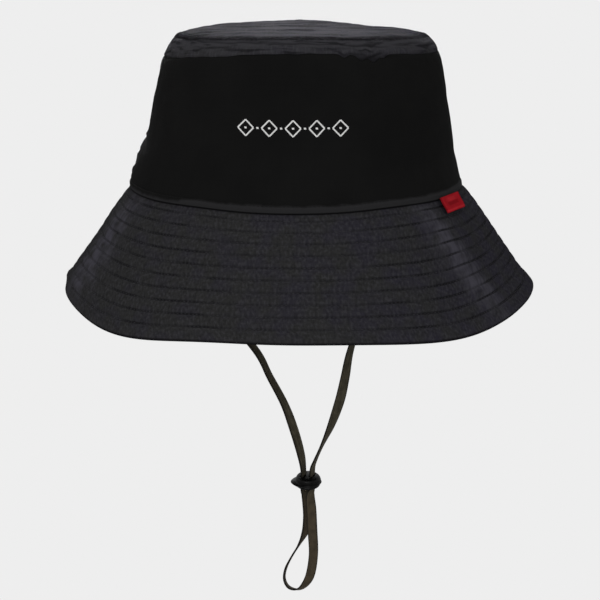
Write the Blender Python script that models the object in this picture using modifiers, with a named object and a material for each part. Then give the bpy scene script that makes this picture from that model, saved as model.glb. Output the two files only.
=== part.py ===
"""Bucket hat: a flat-topped crown on a quilted sloping brim, with a sewn-in label and an adjustable chin strap.

The frame is that of a worn hat: +Z up, the front towards -Y, the origin at the centre of the head opening,
in the plane where the crown is sewn to the brim. Lengths are in metres. The hat is oval: every turned
shape is revolved on the hat's width and then stretched along Y by OVAL_RATIO.
"""

import math

import bmesh
import bpy
from mathutils import Matrix, Vector

# Driving dimensions
HEAD_HALF_WIDTH = 0.0925  # outside of the crown at the brim seam
OVAL_RATIO = 1.075  # depth over width
CROWN_HEIGHT = 0.084  # brim seam to the flat of the tip
TIP_ROLL = 0.002  # how far the seam round the tip lies below its flat
TIP_FLAT = 0.75  # share of the tip's radius that is level
WALL_LEAN = 0.187  # inward lean of the crown's wall, over its height
FLARE = 0.0031  # how far the wall spreads towards the brim seam
FLARE_HEIGHT = 0.032
SHOULDER_START = 0.064  # height where the wall begins to turn in to the tip
SHOULDER_DROP = 0.0059
SHOULDER_POWER = 2.3
BAND_HEIGHT = 0.0085  # visible height of the band under the tip
BRIM_WIDTH = 0.0688  # down the slope, from the seam to the edge
BRIM_SLOPE = math.radians(54.0)  # below the horizontal
ALLOWANCE = 0.008  # seam allowance turned up inside the crown
BAND_ALLOWANCE = 0.006  # band's allowance behind the crown panel

# Cloth and fits
GAP = 0.0003  # clearance between neighbouring plies
CROWN_PLY = 0.0009
BRIM_PLY = 0.00045
INTERLINING = 0.0007
LINING = 0.0004
STAY_TAPE = 0.0004
STAY_TAPE_HEIGHT = 0.0065
SWEATBAND = 0.0012
SWEATBAND_HEIGHT = 0.032
SWEATBAND_DROP = 0.0012  # how far the sweatband reaches below the seam
FACING_RETURN = 0.004  # upper ply turned under at the brim's edge
QUILT_ROWS = 10
QUILT_DEPTH = 0.00025  # how deep a stitch row pulls the upper ply in
QUILT_MARGIN = 0.0075  # last stitch row to the brim's edge
QUILT_START = 0.0042  # first stitch row from the seam

# Label
TAG_WIDTH = 0.023
TAG_DROP = 0.0095
TAG_THICKNESS = 0.001
TAG_ANGLE = math.radians(60.0)  # from the front towards +X
TAG_START = 0.002  # down the brim's slope from the seam
TAG_ROUND = 0.0004

# Chin strap
STRAP_WIDTH = 0.0058
STRAP_THICKNESS = 0.0011
STRAP_SAMPLES = 2  # points between two of the route's own
TAB_WIDTH = 0.010
TAB_LENGTH = 0.0115
TAB_THICKNESS = 0.0011
TAB_ROUND = 0.0003
STRAP_LAP = 0.004  # strap's end above its pivot on the tab
PIVOT_DROP = 0.0055  # pivot below the tab's upper end

# Strap slider
SLIDER_CENTRE = (0.0053, 0.0, -0.1775)
DOME_RADIUS = 0.0071
DOME_TOP_RADIUS = 0.0048
DOME_HEIGHT = 0.0044
BOSS_DEPTH = 0.0038
BOSS_RADIUS = 0.0052  # at the boss's lower face
FLANGE_RADIUS = 0.0085
FLANGE_THICKNESS = 0.0013
FLANGE_SHIFT = -0.0014  # of the flange from the dome's axis
SLIDER_TILT = math.radians(9.0)  # front edge down
SLOT_SPACING = 0.0053
SLOT_TURN = 30  # of both slots about the upright, in degrees
SLOT_CLEARANCE = 0.00045
SLOT_ROUND = 0.0008
SLIDER_ROUND = 0.0004

# Facets
RING_STEPS = 40  # round the whole hat
SLIDER_STEPS = 28
SHOULDER_STEPS = 4
FLARE_STEPS = 3
EDGE_STEPS = 4
DOME_STEPS = 4
DOME_SQUARENESS = 0.8  # under 1 fills out the dome's shoulder

TIP_SEAM = CROWN_HEIGHT - TIP_ROLL
BAND_BOTTOM = TIP_SEAM - BAND_HEIGHT
LINING_OFFSET = 2 * CROWN_PLY + 2 * GAP
TAPE_OFFSET = CROWN_PLY + 2 * BRIM_PLY + 3 * GAP
SWEATBAND_OFFSET = TAPE_OFFSET + STAY_TAPE + GAP
BRIM_STACK = QUILT_DEPTH + 2 * BRIM_PLY + 2 * GAP + INTERLINING
INTERLINING_TOP = QUILT_DEPTH + BRIM_PLY + GAP
UNDER_TOP = INTERLINING_TOP + INTERLINING + GAP
EDGE_RADIUS = BRIM_STACK / 2
TAB_TOP = -SWEATBAND_DROP - WALL_LEAN * (SWEATBAND_OFFSET + SWEATBAND) - GAP
TAB_OUTER = HEAD_HALF_WIDTH - SWEATBAND_OFFSET
STRAP_PLANE = TAB_OUTER - TAB_THICKNESS - GAP - STRAP_THICKNESS / 2
PIVOT_HEIGHT = TAB_TOP - PIVOT_DROP
SLOT_LEFT = SLIDER_CENTRE[0] - SLOT_SPACING / 2
SLOT_RIGHT = SLIDER_CENTRE[0] + SLOT_SPACING / 2
STRAP_TOP = PIVOT_HEIGHT + STRAP_LAP
FRONT = -math.pi / 2
BACK = math.pi / 2

# The chin strap's route from the left tab, down through the slider, round the loop and up to the right tab:
# x, y and z in metres, and the strap's turn about its own length in degrees (0 is edge-on to the front).
STRAP_ROUTE = (
    (-STRAP_PLANE, 0.0, STRAP_TOP, 0),
    (-STRAP_PLANE, 0.0, -0.0130, 0),
    (-0.0838, 0.0, -0.0245, 6),
    (-0.0700, 0.0, -0.0445, 15),
    (-0.0480, 0.0, -0.0700, 28),
    (-0.0246, 0.0, -0.0972, 38),
    (-0.0160, 0.0, -0.1140, 39),
    (-0.0085, 0.0, -0.1300, 47),
    (-0.0033, 0.0, -0.1445, 61),
    (0.0010, 0.0, -0.1600, 47),
    (SLOT_LEFT, 0.0, -0.1705, SLOT_TURN),
    (SLOT_LEFT, 0.0, -0.1818, SLOT_TURN),
    (0.0030, 0.0008, -0.1870, 44),
    (0.0035, 0.0016, -0.1935, 58),
    (0.0039, 0.0020, -0.2010, 66),
    (0.0028, 0.0018, -0.2100, 50),
    (0.0000, 0.0009, -0.2180, 17),
    (-0.0040, 0.0002, -0.2250, 4),
    (-0.0078, 0.0, -0.2325, 0),
    (-0.0088, 0.0, -0.2395, 0),
    (-0.0060, 0.0, -0.2449, -7),
    (-0.0005, 0.0, -0.2463, -28),
    (0.0040, 0.0, -0.2428, -56),
    (0.0068, -0.0004, -0.2357, -77),
    (0.0088, -0.0013, -0.2225, -82),
    (0.0089, -0.0021, -0.2080, -78),
    (0.0080, -0.0017, -0.1950, -66),
    (0.0074, -0.0009, -0.1875, -48),
    (SLOT_RIGHT, 0.0, -0.1818, -SLOT_TURN),
    (SLOT_RIGHT, 0.0, -0.1705, -SLOT_TURN),
    (0.0098, 0.0, -0.1645, -21),
    (0.0136, 0.0, -0.1556, -21),
    (0.0187, 0.0, -0.1437, -50),
    (0.0237, 0.0, -0.1285, -83),
    (0.0266, 0.0, -0.1150, -69),
    (0.0297, 0.0, -0.0980, -43),
    (0.0360, 0.0, -0.0800, -32),
    (0.0500, 0.0, -0.0590, -23),
    (0.0690, 0.0, -0.0380, -13),
    (0.0838, 0.0, -0.0235, -4),
    (STRAP_PLANE, 0.0, -0.0120, 0),
    (STRAP_PLANE, 0.0, STRAP_TOP, 0),
)


def new_collection(name):
    collection = bpy.data.collections.new(name)
    bpy.context.scene.collection.children.link(collection)
    return collection


def new_material(name, colour, roughness, metallic=0.0):
    material = bpy.data.materials.new(name)
    material.use_nodes = True
    material.diffuse_color = (*colour, 1.0)
    shader = material.node_tree.nodes["Principled BSDF"]
    shader.inputs["Base Color"].default_value = (*colour, 1.0)
    shader.inputs["Roughness"].default_value = roughness
    shader.inputs["Metallic"].default_value = metallic
    return material


def add_object(name, data, collection, material=None):
    thing = bpy.data.objects.new(name, data)
    collection.objects.link(thing)
    if material:
        data.materials.append(material)
    return thing


def evaluated_mesh(thing):
    bpy.context.view_layer.update()
    graph = bpy.context.evaluated_depsgraph_get()
    return bpy.data.meshes.new_from_object(thing.evaluated_get(graph))


# ---- turned shapes ------------------------------------------------------------------------------


def turned_surface(name, profile, start, sweep, steps, stretch=OVAL_RATIO):
    """The mesh of a profile of (radius, height) turned about Z from the angle start, stretched along Y."""
    line = bpy.data.meshes.new(name + "_profile")
    points = [(radius, 0.0, height) for radius, height in profile]
    line.from_pydata(points, [(i, i + 1) for i in range(len(points) - 1)], [])
    guide = bpy.data.objects.new(name + "_profile", line)
    bpy.context.scene.collection.objects.link(guide)
    screw = guide.modifiers.new("Turn", "SCREW")
    screw.angle = sweep
    screw.steps = steps
    screw.render_steps = steps
    screw.use_merge_vertices = True
    screw.merge_threshold = 0.00005
    screw.use_smooth_shade = True
    mesh = evaluated_mesh(guide)
    mesh.name = name
    bpy.data.objects.remove(guide)
    bpy.data.meshes.remove(line)
    mesh.transform(Matrix.Rotation(start, 4, "Z"))
    mesh.transform(Matrix.Scale(stretch, 4, Vector((0.0, 1.0, 0.0))))
    return mesh


def add_ply(thing, thickness):
    """Gives an open surface its cloth's thickness, towards the inside."""
    ply = thing.modifiers.new("Ply", "SOLIDIFY")
    ply.thickness = thickness
    ply.offset = -1.0
    ply.use_even_offset = True
    ply.use_rim = True
    return thing


def ring_ply(name, profile, thickness, collection, material):
    """A ply that runs all the way round the hat."""
    mesh = turned_surface(name, profile, 0.0, math.tau, RING_STEPS)
    return add_ply(add_object(name, mesh, collection, material), thickness)


def half_ply(name, profile, thickness, middle, collection, material):
    """A ply that covers the front or the back, cut short of the side seams by half a gap each."""
    smallest = min(radius for radius, height in profile)
    trim = GAP / 2 / smallest
    start = middle - math.pi / 2 + trim
    mesh = turned_surface(name, profile, start, math.pi - 2 * trim, RING_STEPS // 2)
    return add_ply(add_object(name, mesh, collection, material), thickness)


# ---- the crown's shape --------------------------------------------------------------------------


def crown_radius(height):
    """Outside half-width of the crown at a height above the brim seam."""
    t = min(max(height / FLARE_HEIGHT, 0.0), 1.0)
    spread = FLARE * (1 - t * t * (3 - 2 * t))
    over = max(height - SHOULDER_START, 0.0) / (TIP_SEAM - SHOULDER_START)
    turn_in = SHOULDER_DROP * over**SHOULDER_POWER
    return HEAD_HALF_WIDTH - FLARE - WALL_LEAN * height + spread - turn_in


def crown_point(height, inward=0.0):
    """A point of the crown's profile, moved inward at right angles to the wall."""
    step = 0.0005
    lean = (crown_radius(height + step) - crown_radius(height - step)) / (2 * step)
    across = math.hypot(1.0, lean)
    return crown_radius(height) - inward / across, height + inward * lean / across


def wall_stations():
    """Heights at which every ply of the wall has a point, so that plies one inside another have like facets."""
    shoulder = [TIP_SEAM + (SHOULDER_START - TIP_SEAM) * i / SHOULDER_STEPS for i in range(SHOULDER_STEPS + 1)]
    middle = [(SHOULDER_START + FLARE_HEIGHT) / 2]
    flare = [FLARE_HEIGHT * (1 - i / FLARE_STEPS) for i in range(FLARE_STEPS + 1)]
    return shoulder + middle + flare


def crown_wall(top, bottom, inward=0.0):
    """The crown's profile from top to bottom, as a list of (radius, height)."""
    between = [height for height in wall_stations() if bottom + GAP < height < top - GAP]
    return [crown_point(height, inward) for height in [top, *between, bottom]]


# ---- the brim's shape ---------------------------------------------------------------------------


def brim_point(down, inward=0.0):
    """A point of the brim's profile, so far down the slope from the seam and so far in from its upper face."""
    radius, height = crown_point(0.0, CROWN_PLY + GAP)
    return (
        radius + down * math.cos(BRIM_SLOPE) - inward * math.sin(BRIM_SLOPE),
        height - down * math.sin(BRIM_SLOPE) - inward * math.cos(BRIM_SLOPE),
    )


def quilt_rows():
    """How far down the slope each stitch row lies."""
    last = BRIM_WIDTH - QUILT_MARGIN
    return [QUILT_START + (last - QUILT_START) * i / (QUILT_ROWS - 1) for i in range(QUILT_ROWS)]


def brim_edge():
    """The round edge of the brim and the ply's return under it."""
    bend = BRIM_WIDTH - EDGE_RADIUS
    points = []
    for i in range(EDGE_STEPS + 1):
        turn = math.pi * i / EDGE_STEPS
        points.append(brim_point(bend + EDGE_RADIUS * math.sin(turn), EDGE_RADIUS * (1 - math.cos(turn))))
    return points + [brim_point(bend - FACING_RETURN, BRIM_STACK)]


def brim_upper_profile():
    """Seam allowance, quilted slope, edge and return of the brim's upper ply."""
    inward = CROWN_PLY + GAP
    rows = quilt_rows()
    points = crown_wall(ALLOWANCE, 0.0, inward)
    points.append(brim_point(rows[0] / 2))
    for row, following in zip(rows, rows[1:] + [None]):
        points.append(brim_point(row, QUILT_DEPTH))
        if following:
            points.append(brim_point((row + following) / 2))
    return points + brim_edge()


def brim_under_profile():
    """Seam allowance and slope of the brim's under ply, up to the upper ply's return."""
    inward = CROWN_PLY + BRIM_PLY + 2 * GAP
    end = BRIM_WIDTH - EDGE_RADIUS - FACING_RETURN - GAP
    wall = crown_wall(ALLOWANCE, 0.0, inward)
    down = (wall[-1][0] - brim_point(0.0, UNDER_TOP)[0]) / math.cos(BRIM_SLOPE)
    return [
        *wall,
        brim_point(down, UNDER_TOP),
        brim_point((down + end) / 2, UNDER_TOP),
        brim_point(end, UNDER_TOP),
    ]


def build_brim(collection, cloth, core):
    start = UNDER_TOP + GAP
    end = BRIM_WIDTH - EDGE_RADIUS
    interlining = [brim_point(start, INTERLINING_TOP), brim_point(end, INTERLINING_TOP)]
    for side, middle in (("front", FRONT), ("back", BACK)):
        half_ply("brim_upper_" + side, brim_upper_profile(), BRIM_PLY, middle, collection, cloth)
        half_ply("brim_interlining_" + side, interlining, INTERLINING, middle, collection, core)
        half_ply("brim_under_" + side, brim_under_profile(), BRIM_PLY, middle, collection, cloth)


def build_crown(collection, tip_cloth, panel_cloth):
    behind = CROWN_PLY + GAP
    roll = crown_point(TIP_SEAM, behind)[0]
    flange_end = BAND_BOTTOM + CROWN_PLY + GAP
    tip = [
        (0.0, CROWN_HEIGHT),
        (roll * TIP_FLAT, CROWN_HEIGHT),
        (roll - 2 * TIP_ROLL, CROWN_HEIGHT - TIP_ROLL / 5),
        (roll - TIP_ROLL / 2, CROWN_HEIGHT - TIP_ROLL / 2),
        *crown_wall(TIP_SEAM, flange_end, behind),
    ]
    ring_ply("crown_tip", tip, CROWN_PLY, collection, tip_cloth)
    band = crown_wall(TIP_SEAM, BAND_BOTTOM)
    band += crown_wall(BAND_BOTTOM - GAP, BAND_BOTTOM - BAND_ALLOWANCE, behind)
    panel = crown_wall(BAND_BOTTOM - 2 * GAP, 0.0)
    for side, middle in (("front", FRONT), ("back", BACK)):
        half_ply("upper_band_" + side, band, CROWN_PLY, middle, collection, tip_cloth)
        half_ply("crown_panel_" + side, panel, CROWN_PLY, middle, collection, panel_cloth)


def build_lining(collection, lining_cloth, band_cloth, tape_cloth):
    under_tip = CROWN_HEIGHT - CROWN_PLY - GAP
    side_top = under_tip - LINING_OFFSET
    flange = LINING_OFFSET + LINING + GAP
    roll = crown_point(TIP_SEAM, CROWN_PLY + GAP)[0]
    tip = [
        (0.0, under_tip),
        (roll * TIP_FLAT, under_tip),
        (roll - 2 * TIP_ROLL, under_tip - TIP_ROLL / 5),
        *crown_wall(side_top, side_top - BAND_ALLOWANCE, flange),
    ]
    ring_ply("tip_lining", tip, LINING, collection, lining_cloth)
    side = crown_wall(side_top, ALLOWANCE + GAP + BRIM_PLY, LINING_OFFSET)
    for name, middle in (("front", FRONT), ("back", BACK)):
        half_ply("side_lining_" + name, side, LINING, middle, collection, lining_cloth)
    tape = crown_wall(STAY_TAPE_HEIGHT, 0.0, TAPE_OFFSET)
    ring_ply("seam_stay_tape", tape, STAY_TAPE, collection, tape_cloth)
    top = SWEATBAND_HEIGHT - SWEATBAND_DROP
    band = crown_wall(top, -SWEATBAND_DROP, SWEATBAND_OFFSET)
    ring_ply("sweatband", band, SWEATBAND, collection, band_cloth)


# ---- label --------------------------------------------------------------------------------------


def build_tag(collection, material):
    """The folded label sewn into the brim seam, lying on the brim, with its origin on its sewn edge."""
    radius, height = brim_point(TAG_START, -GAP)
    across = Vector((math.cos(TAG_ANGLE), math.sin(TAG_ANGLE) * OVAL_RATIO, 0.0)).normalized()
    outward = Vector((across.y, -across.x, 0.0))
    down = outward * math.cos(BRIM_SLOPE) - Vector((0.0, 0.0, math.sin(BRIM_SLOPE)))
    mesh = bpy.data.meshes.new("woven_tag")
    shape = bmesh.new()
    bmesh.ops.create_cube(shape, size=1.0)
    bmesh.ops.scale(shape, vec=(TAG_WIDTH, TAG_DROP, TAG_THICKNESS), verts=shape.verts)
    bmesh.ops.translate(shape, vec=(0.0, TAG_DROP / 2, TAG_THICKNESS / 2), verts=shape.verts)
    shape.to_mesh(mesh)
    shape.free()
    tag = add_object("woven_tag", mesh, collection, material)
    turn = Matrix((-across, down, down.cross(across))).transposed().to_4x4()
    seat = Vector((radius * math.sin(TAG_ANGLE), -radius * math.cos(TAG_ANGLE) * OVAL_RATIO, height))
    tag.matrix_world = Matrix.Translation(seat) @ turn
    edge = tag.modifiers.new("Edge", "BEVEL")
    edge.width = TAG_ROUND
    edge.segments = 1
    return tag


# ---- chin strap ---------------------------------------------------------------------------------


def smooth_route(route, between):
    """Points on a smooth curve through the route's points, with so many more between each two."""
    samples = []
    last = len(route) - 1
    for i in range(last):
        before, here, there, after = (Vector(route[min(max(i + k, 0), last)]) for k in (-1, 0, 1, 2))
        pull_here = (there - before) / 2
        pull_there = (after - here) / 2
        for step in range(between):
            t = step / between
            samples.append(
                here * (2 * t**3 - 3 * t**2 + 1)
                + pull_here * (t**3 - 2 * t**2 + t)
                + there * (3 * t**2 - 2 * t**3)
                + pull_there * (t**3 - t**2)
            )
    return samples + [Vector(route[last])]


def build_strap(collection, material):
    """The flat strap, hung from the axis through its two pivots."""
    curve = bpy.data.curves.new("chin_strap", "CURVE")
    curve.dimensions = "3D"
    curve.twist_mode = "MINIMUM"
    curve.extrude = (STRAP_WIDTH - STRAP_THICKNESS) / 2
    curve.bevel_depth = STRAP_THICKNESS / 2
    curve.bevel_resolution = 2
    curve.use_fill_caps = True
    samples = smooth_route(STRAP_ROUTE, STRAP_SAMPLES)
    line = curve.splines.new("POLY")
    line.points.add(len(samples) - 1)
    for point, sample in zip(line.points, samples):
        point.co = (sample[0], sample[1], sample[2] - PIVOT_HEIGHT, 1.0)
        point.tilt = math.pi / 2 + math.radians(sample[3])
    strap = add_object("chin_strap", curve, collection, material)
    strap.location = (0.0, 0.0, PIVOT_HEIGHT)
    return strap


def build_tabs(collection, material):
    """The two tabs sewn into the seam at the sides, to whose inner faces the strap's ends are tacked."""
    for side, sign in (("left", -1), ("right", 1)):
        mesh = bpy.data.meshes.new("strap_tab_" + side)
        shape = bmesh.new()
        bmesh.ops.create_cube(shape, size=1.0)
        bmesh.ops.scale(shape, vec=(TAB_THICKNESS, TAB_WIDTH, TAB_LENGTH), verts=shape.verts)
        shape.to_mesh(mesh)
        shape.free()
        tab = add_object("strap_tab_" + side, mesh, collection, material)
        tab.location = (sign * (TAB_OUTER - TAB_THICKNESS / 2), 0.0, TAB_TOP - TAB_LENGTH / 2)
        corner = tab.modifiers.new("Corner", "BEVEL")
        corner.width = TAB_ROUND
        corner.segments = 1


# ---- strap slider -------------------------------------------------------------------------------


def union(thing, other):
    join = thing.modifiers.new("Join_" + other.name, "BOOLEAN")
    join.operation = "UNION"
    join.object = other


def slot_cutter(name, x, collection):
    mesh = bpy.data.meshes.new(name)
    shape = bmesh.new()
    bmesh.ops.create_cube(shape, size=1.0)
    width = STRAP_THICKNESS + 2 * SLOT_CLEARANCE
    depth = STRAP_WIDTH + 2 * SLOT_CLEARANCE
    tall = 4 * (DOME_HEIGHT + BOSS_DEPTH)
    bmesh.ops.scale(shape, vec=(width, depth, tall), verts=shape.verts)
    upright = [edge for edge in shape.edges if abs(edge.verts[0].co.z - edge.verts[1].co.z) > tall / 2]
    bmesh.ops.bevel(shape, geom=upright, offset=SLOT_ROUND, segments=2, profile=0.5, affect="EDGES")
    shape.to_mesh(mesh)
    shape.free()
    cutter = add_object(name, mesh, collection)
    cutter.location = (x, SLIDER_CENTRE[1], SLIDER_CENTRE[2])
    cutter.rotation_euler = (0.0, 0.0, -math.radians(SLOT_TURN))
    cutter.hide_render = True
    cutter.display_type = "WIRE"
    return cutter


def slider_profile():
    """Domed top, waist at the flange and shallow boss under it."""
    points = [(0.0, DOME_HEIGHT)]
    for i in range(DOME_STEPS):
        t = math.pi / 2 * i / DOME_STEPS
        radius = DOME_TOP_RADIUS + (DOME_RADIUS - DOME_TOP_RADIUS) * math.sin(t)
        points.append((radius, DOME_HEIGHT * math.cos(t) ** DOME_SQUARENESS))
    points.append((DOME_RADIUS, 0.0))
    points.append(((DOME_RADIUS + BOSS_RADIUS) / 2, -BOSS_DEPTH * 0.75))
    points.append((BOSS_RADIUS, -BOSS_DEPTH))
    points.append((0.0, -BOSS_DEPTH))
    return points


def build_slider(collection, cutters, material):
    """The moulded two-slot slider: a domed body on a thin flange."""
    body = turned_surface("strap_slider", slider_profile(), 0.0, math.tau, SLIDER_STEPS, 1.0)
    slider = add_object("strap_slider", body, collection, material)
    flange_mesh = bpy.data.meshes.new("slider_flange")
    shape = bmesh.new()
    bmesh.ops.create_cone(
        shape,
        cap_ends=True,
        segments=SLIDER_STEPS,
        radius1=FLANGE_RADIUS,
        radius2=FLANGE_RADIUS,
        depth=FLANGE_THICKNESS,
    )
    rim = [edge for edge in shape.edges if abs(edge.verts[0].co.z - edge.verts[1].co.z) < GAP]
    bmesh.ops.bevel(shape, geom=rim, offset=SLIDER_ROUND, segments=1, profile=0.5, affect="EDGES")
    bmesh.ops.translate(shape, vec=(FLANGE_SHIFT, 0.0, -FLANGE_THICKNESS / 2), verts=shape.verts)
    shape.to_mesh(flange_mesh)
    shape.free()
    flange = add_object("slider_flange", flange_mesh, cutters)
    flange.hide_render = True
    flange.display_type = "WIRE"
    for thing in (slider, flange):
        thing.location = SLIDER_CENTRE
        thing.rotation_euler = (SLIDER_TILT, 0.0, 0.0)
    union(slider, flange)
    for name, x in (("slot_left", SLOT_LEFT), ("slot_right", SLOT_RIGHT)):
        cut = slider.modifiers.new("Cut_" + name, "BOOLEAN")
        cut.operation = "DIFFERENCE"
        cut.object = slot_cutter(name, x, cutters)
    return slider


def main():
    for thing in list(bpy.data.objects):
        bpy.data.objects.remove(thing)
    hat = new_collection("bucket_hat")
    cutters = new_collection("cutters")
    cutters.hide_render = True
    charcoal = new_material("charcoal_cloth", (0.020, 0.019, 0.023), 0.75)
    black = new_material("black_cloth", (0.007, 0.007, 0.007), 0.9)
    lining_cloth = new_material("lining_cloth", (0.012, 0.012, 0.014), 0.6)
    band_cloth = new_material("sweatband_cloth", (0.010, 0.010, 0.010), 0.95)
    tape_cloth = new_material("stay_tape", (0.030, 0.030, 0.032), 0.9)
    core = new_material("interlining_felt", (0.30, 0.30, 0.29), 0.95)
    red = new_material("red_label", (0.30, 0.008, 0.012), 0.7)
    olive = new_material("olive_webbing", (0.037, 0.028, 0.017), 0.8)
    plastic = new_material("black_plastic", (0.008, 0.008, 0.008), 0.4)
    build_crown(hat, charcoal, black)
    build_brim(hat, charcoal, core)
    build_lining(hat, lining_cloth, band_cloth, tape_cloth)
    build_tag(hat, red)
    build_tabs(hat, olive)
    build_strap(hat, olive)
    build_slider(hat, cutters, plastic)


main()
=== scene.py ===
import math
from functools import reduce

import bmesh
import bpy
import numpy as np
from mathutils import Matrix, Vector


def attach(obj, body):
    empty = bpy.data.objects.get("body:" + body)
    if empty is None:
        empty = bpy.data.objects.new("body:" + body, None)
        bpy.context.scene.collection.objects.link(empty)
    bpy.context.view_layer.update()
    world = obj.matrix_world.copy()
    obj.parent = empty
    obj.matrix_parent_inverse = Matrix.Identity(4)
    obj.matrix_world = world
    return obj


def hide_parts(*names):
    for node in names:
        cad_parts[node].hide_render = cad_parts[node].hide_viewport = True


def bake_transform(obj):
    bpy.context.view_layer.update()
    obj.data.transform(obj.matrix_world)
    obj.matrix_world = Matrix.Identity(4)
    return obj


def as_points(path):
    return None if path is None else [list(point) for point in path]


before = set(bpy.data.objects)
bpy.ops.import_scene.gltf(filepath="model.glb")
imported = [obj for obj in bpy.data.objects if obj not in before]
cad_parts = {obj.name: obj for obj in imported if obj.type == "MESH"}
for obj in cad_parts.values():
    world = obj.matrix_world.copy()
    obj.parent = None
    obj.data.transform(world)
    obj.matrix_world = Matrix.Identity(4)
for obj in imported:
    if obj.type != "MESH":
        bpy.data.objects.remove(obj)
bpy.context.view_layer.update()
scene = bpy.context.scene
scene.view_settings.view_transform = "Standard"
print("frame loaded")


def smooth(t):  # an S-curve from 0 to 1
    t = np.clip(t, 0, 1)
    return t * t * (3 - 2 * t)


def bump(x, centre, width):  # 1 at the centre, next to nothing two widths away
    return np.exp(-(((x - centre) / width) ** 2))


def ripple(x, y, seed, low, high, count=7):
    # a fixed sum of waves, frequencies in cycles per metre, roughly -1 to 1
    dice = np.random.default_rng(seed)
    total = np.zeros(np.broadcast(x, y).shape)
    for _ in range(count):
        way, phase = dice.uniform(0, math.tau, 2)
        pace = math.tau * dice.uniform(low, high)
        total = total + np.sin(pace * (x * math.cos(way) + y * math.sin(way)) + phase)
    return total / (1.4 * math.sqrt(count))


def toDegrees(turn):  # from -180 to 180
    return np.degrees((turn + math.pi) % math.tau - math.pi)


def unit(rows):
    return rows / np.linalg.norm(rows, axis=1)[:, None]


def runAlong(points):  # how far each point lies along the line
    return np.concatenate(([0], np.cumsum(np.linalg.norm(np.diff(points, axis=0), axis=1))))


def addObject(name, data):
    thing = bpy.data.objects.new(name, data)
    scene.collection.objects.link(thing)
    return thing


def smoothShaded(mesh):
    mesh.polygons.foreach_set("use_smooth", [True] * len(mesh.polygons))
    return mesh


def meshOf(name, shape):
    mesh = bpy.data.meshes.new(name)
    shape.to_mesh(mesh)
    shape.free()
    return smoothShaded(mesh)


def clothGrid(columns, rows, size=1):  # a flat grid of cloth and its own measure
    shape = bmesh.new()
    measure = shape.loops.layers.uv.new("cloth")
    bmesh.ops.create_grid(shape, x_segments=columns, y_segments=rows, size=size)
    return shape, measure


def lay(vert, measure, flat, place):
    for loop in vert.link_loops:
        loop[measure].uv = flat
    vert.co = place


def addPiece(name, mesh, material, body=None, node=None):
    piece = addObject(name, mesh)
    mesh.materials.clear()
    mesh.materials.append(material)
    if body:
        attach(piece, body)
    if node:
        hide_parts(node)
    return piece


def aimAt(thing, place, aim):
    thing.location = place
    thing.rotation_euler = (Vector(aim) - Vector(place)).to_track_quat("-Z", "Y").to_euler()


cameraForm = {"place": (0.0007, -0.85, 0.1401), "aim": (0.0007, 0, -0.0682), "lens": 92.03, "sensor": 36}


def addCamera():
    data = bpy.data.cameras.new("camera")
    data.lens, data.sensor_width = cameraForm["lens"], cameraForm["sensor"]
    scene.camera = addObject("camera", data)
    aimAt(scene.camera, cameraForm["place"], cameraForm["aim"])


addCamera()
print("camera placed")


def put(tree, kind, inputs=None, **settings):
    # a shader node with its settings, its inputs linked or given a value
    node = tree.nodes.new("ShaderNode" + kind)
    for key, value in settings.items():
        setattr(node, key, value)
    for key, value in (inputs or {}).items():
        if isinstance(value, bpy.types.NodeSocket):
            tree.links.new(value, node.inputs[key])
        else:
            node.inputs[key].default_value = value
    return node


def treeOf(*values):
    return next(value.id_data for value in values if isinstance(value, bpy.types.NodeSocket))


def calc(operation, *values):
    return put(treeOf(*values), "Math", dict(enumerate(values)), operation=operation).outputs[0]


def add(*values):
    return reduce(lambda a, b: calc("ADD", a, b), values)


def times(*values):
    return reduce(lambda a, b: calc("MULTIPLY", a, b), values)


def distance(value, level):
    return calc("ABSOLUTE", calc("SUBTRACT", value, level))


def mixColour(share, first, second):
    inputs = {6: first, 7: second}
    inputs = {key: (*value, 1) if isinstance(value, tuple) else value for key, value in inputs.items()}
    return put(treeOf(share, first, second), "Mix", {0: share, **inputs}, data_type="RGBA").outputs[2]


def ramp(value, low, high, toLow=0, toHigh=1):
    inputs = dict(enumerate((value, low, high, toLow, toHigh)))
    return put(value.id_data, "MapRange", inputs, interpolation_type="SMOOTHSTEP").outputs[0]


def split(vector):
    return put(vector.id_data, "SeparateXYZ", {0: vector}).outputs


def scaleBy(vector, factor):
    return put(vector.id_data, "VectorMath", {0: vector, "Scale": factor}, operation="SCALE").outputs[0]


def mapped(vector, scale, **more):
    return put(vector.id_data, "Mapping", {"Vector": vector, "Scale": scale, **more}).outputs[0]


def noise(vector, scale, detail):
    return put(vector.id_data, "TexNoise", {"Vector": vector, "Scale": scale, "Detail": detail}).outputs[0]


def stretchedNoise(vector, scale, detail, **more):
    return noise(mapped(vector, scale, **more), 1, detail)


def newGroup(name, vector, number, value, outputs):
    group = bpy.data.node_groups.new(name, "ShaderNodeTree")
    group.interface.new_socket(vector, in_out="INPUT", socket_type="NodeSocketVector")
    group.interface.new_socket(number, in_out="INPUT", socket_type="NodeSocketFloat").default_value = value
    for label in outputs:
        group.interface.new_socket(label, in_out="OUTPUT", socket_type="NodeSocketFloat")
    start, end = group.nodes.new("NodeGroupInput"), group.nodes.new("NodeGroupOutput")
    return group, start.outputs[0], start.outputs[1], end.inputs


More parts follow.
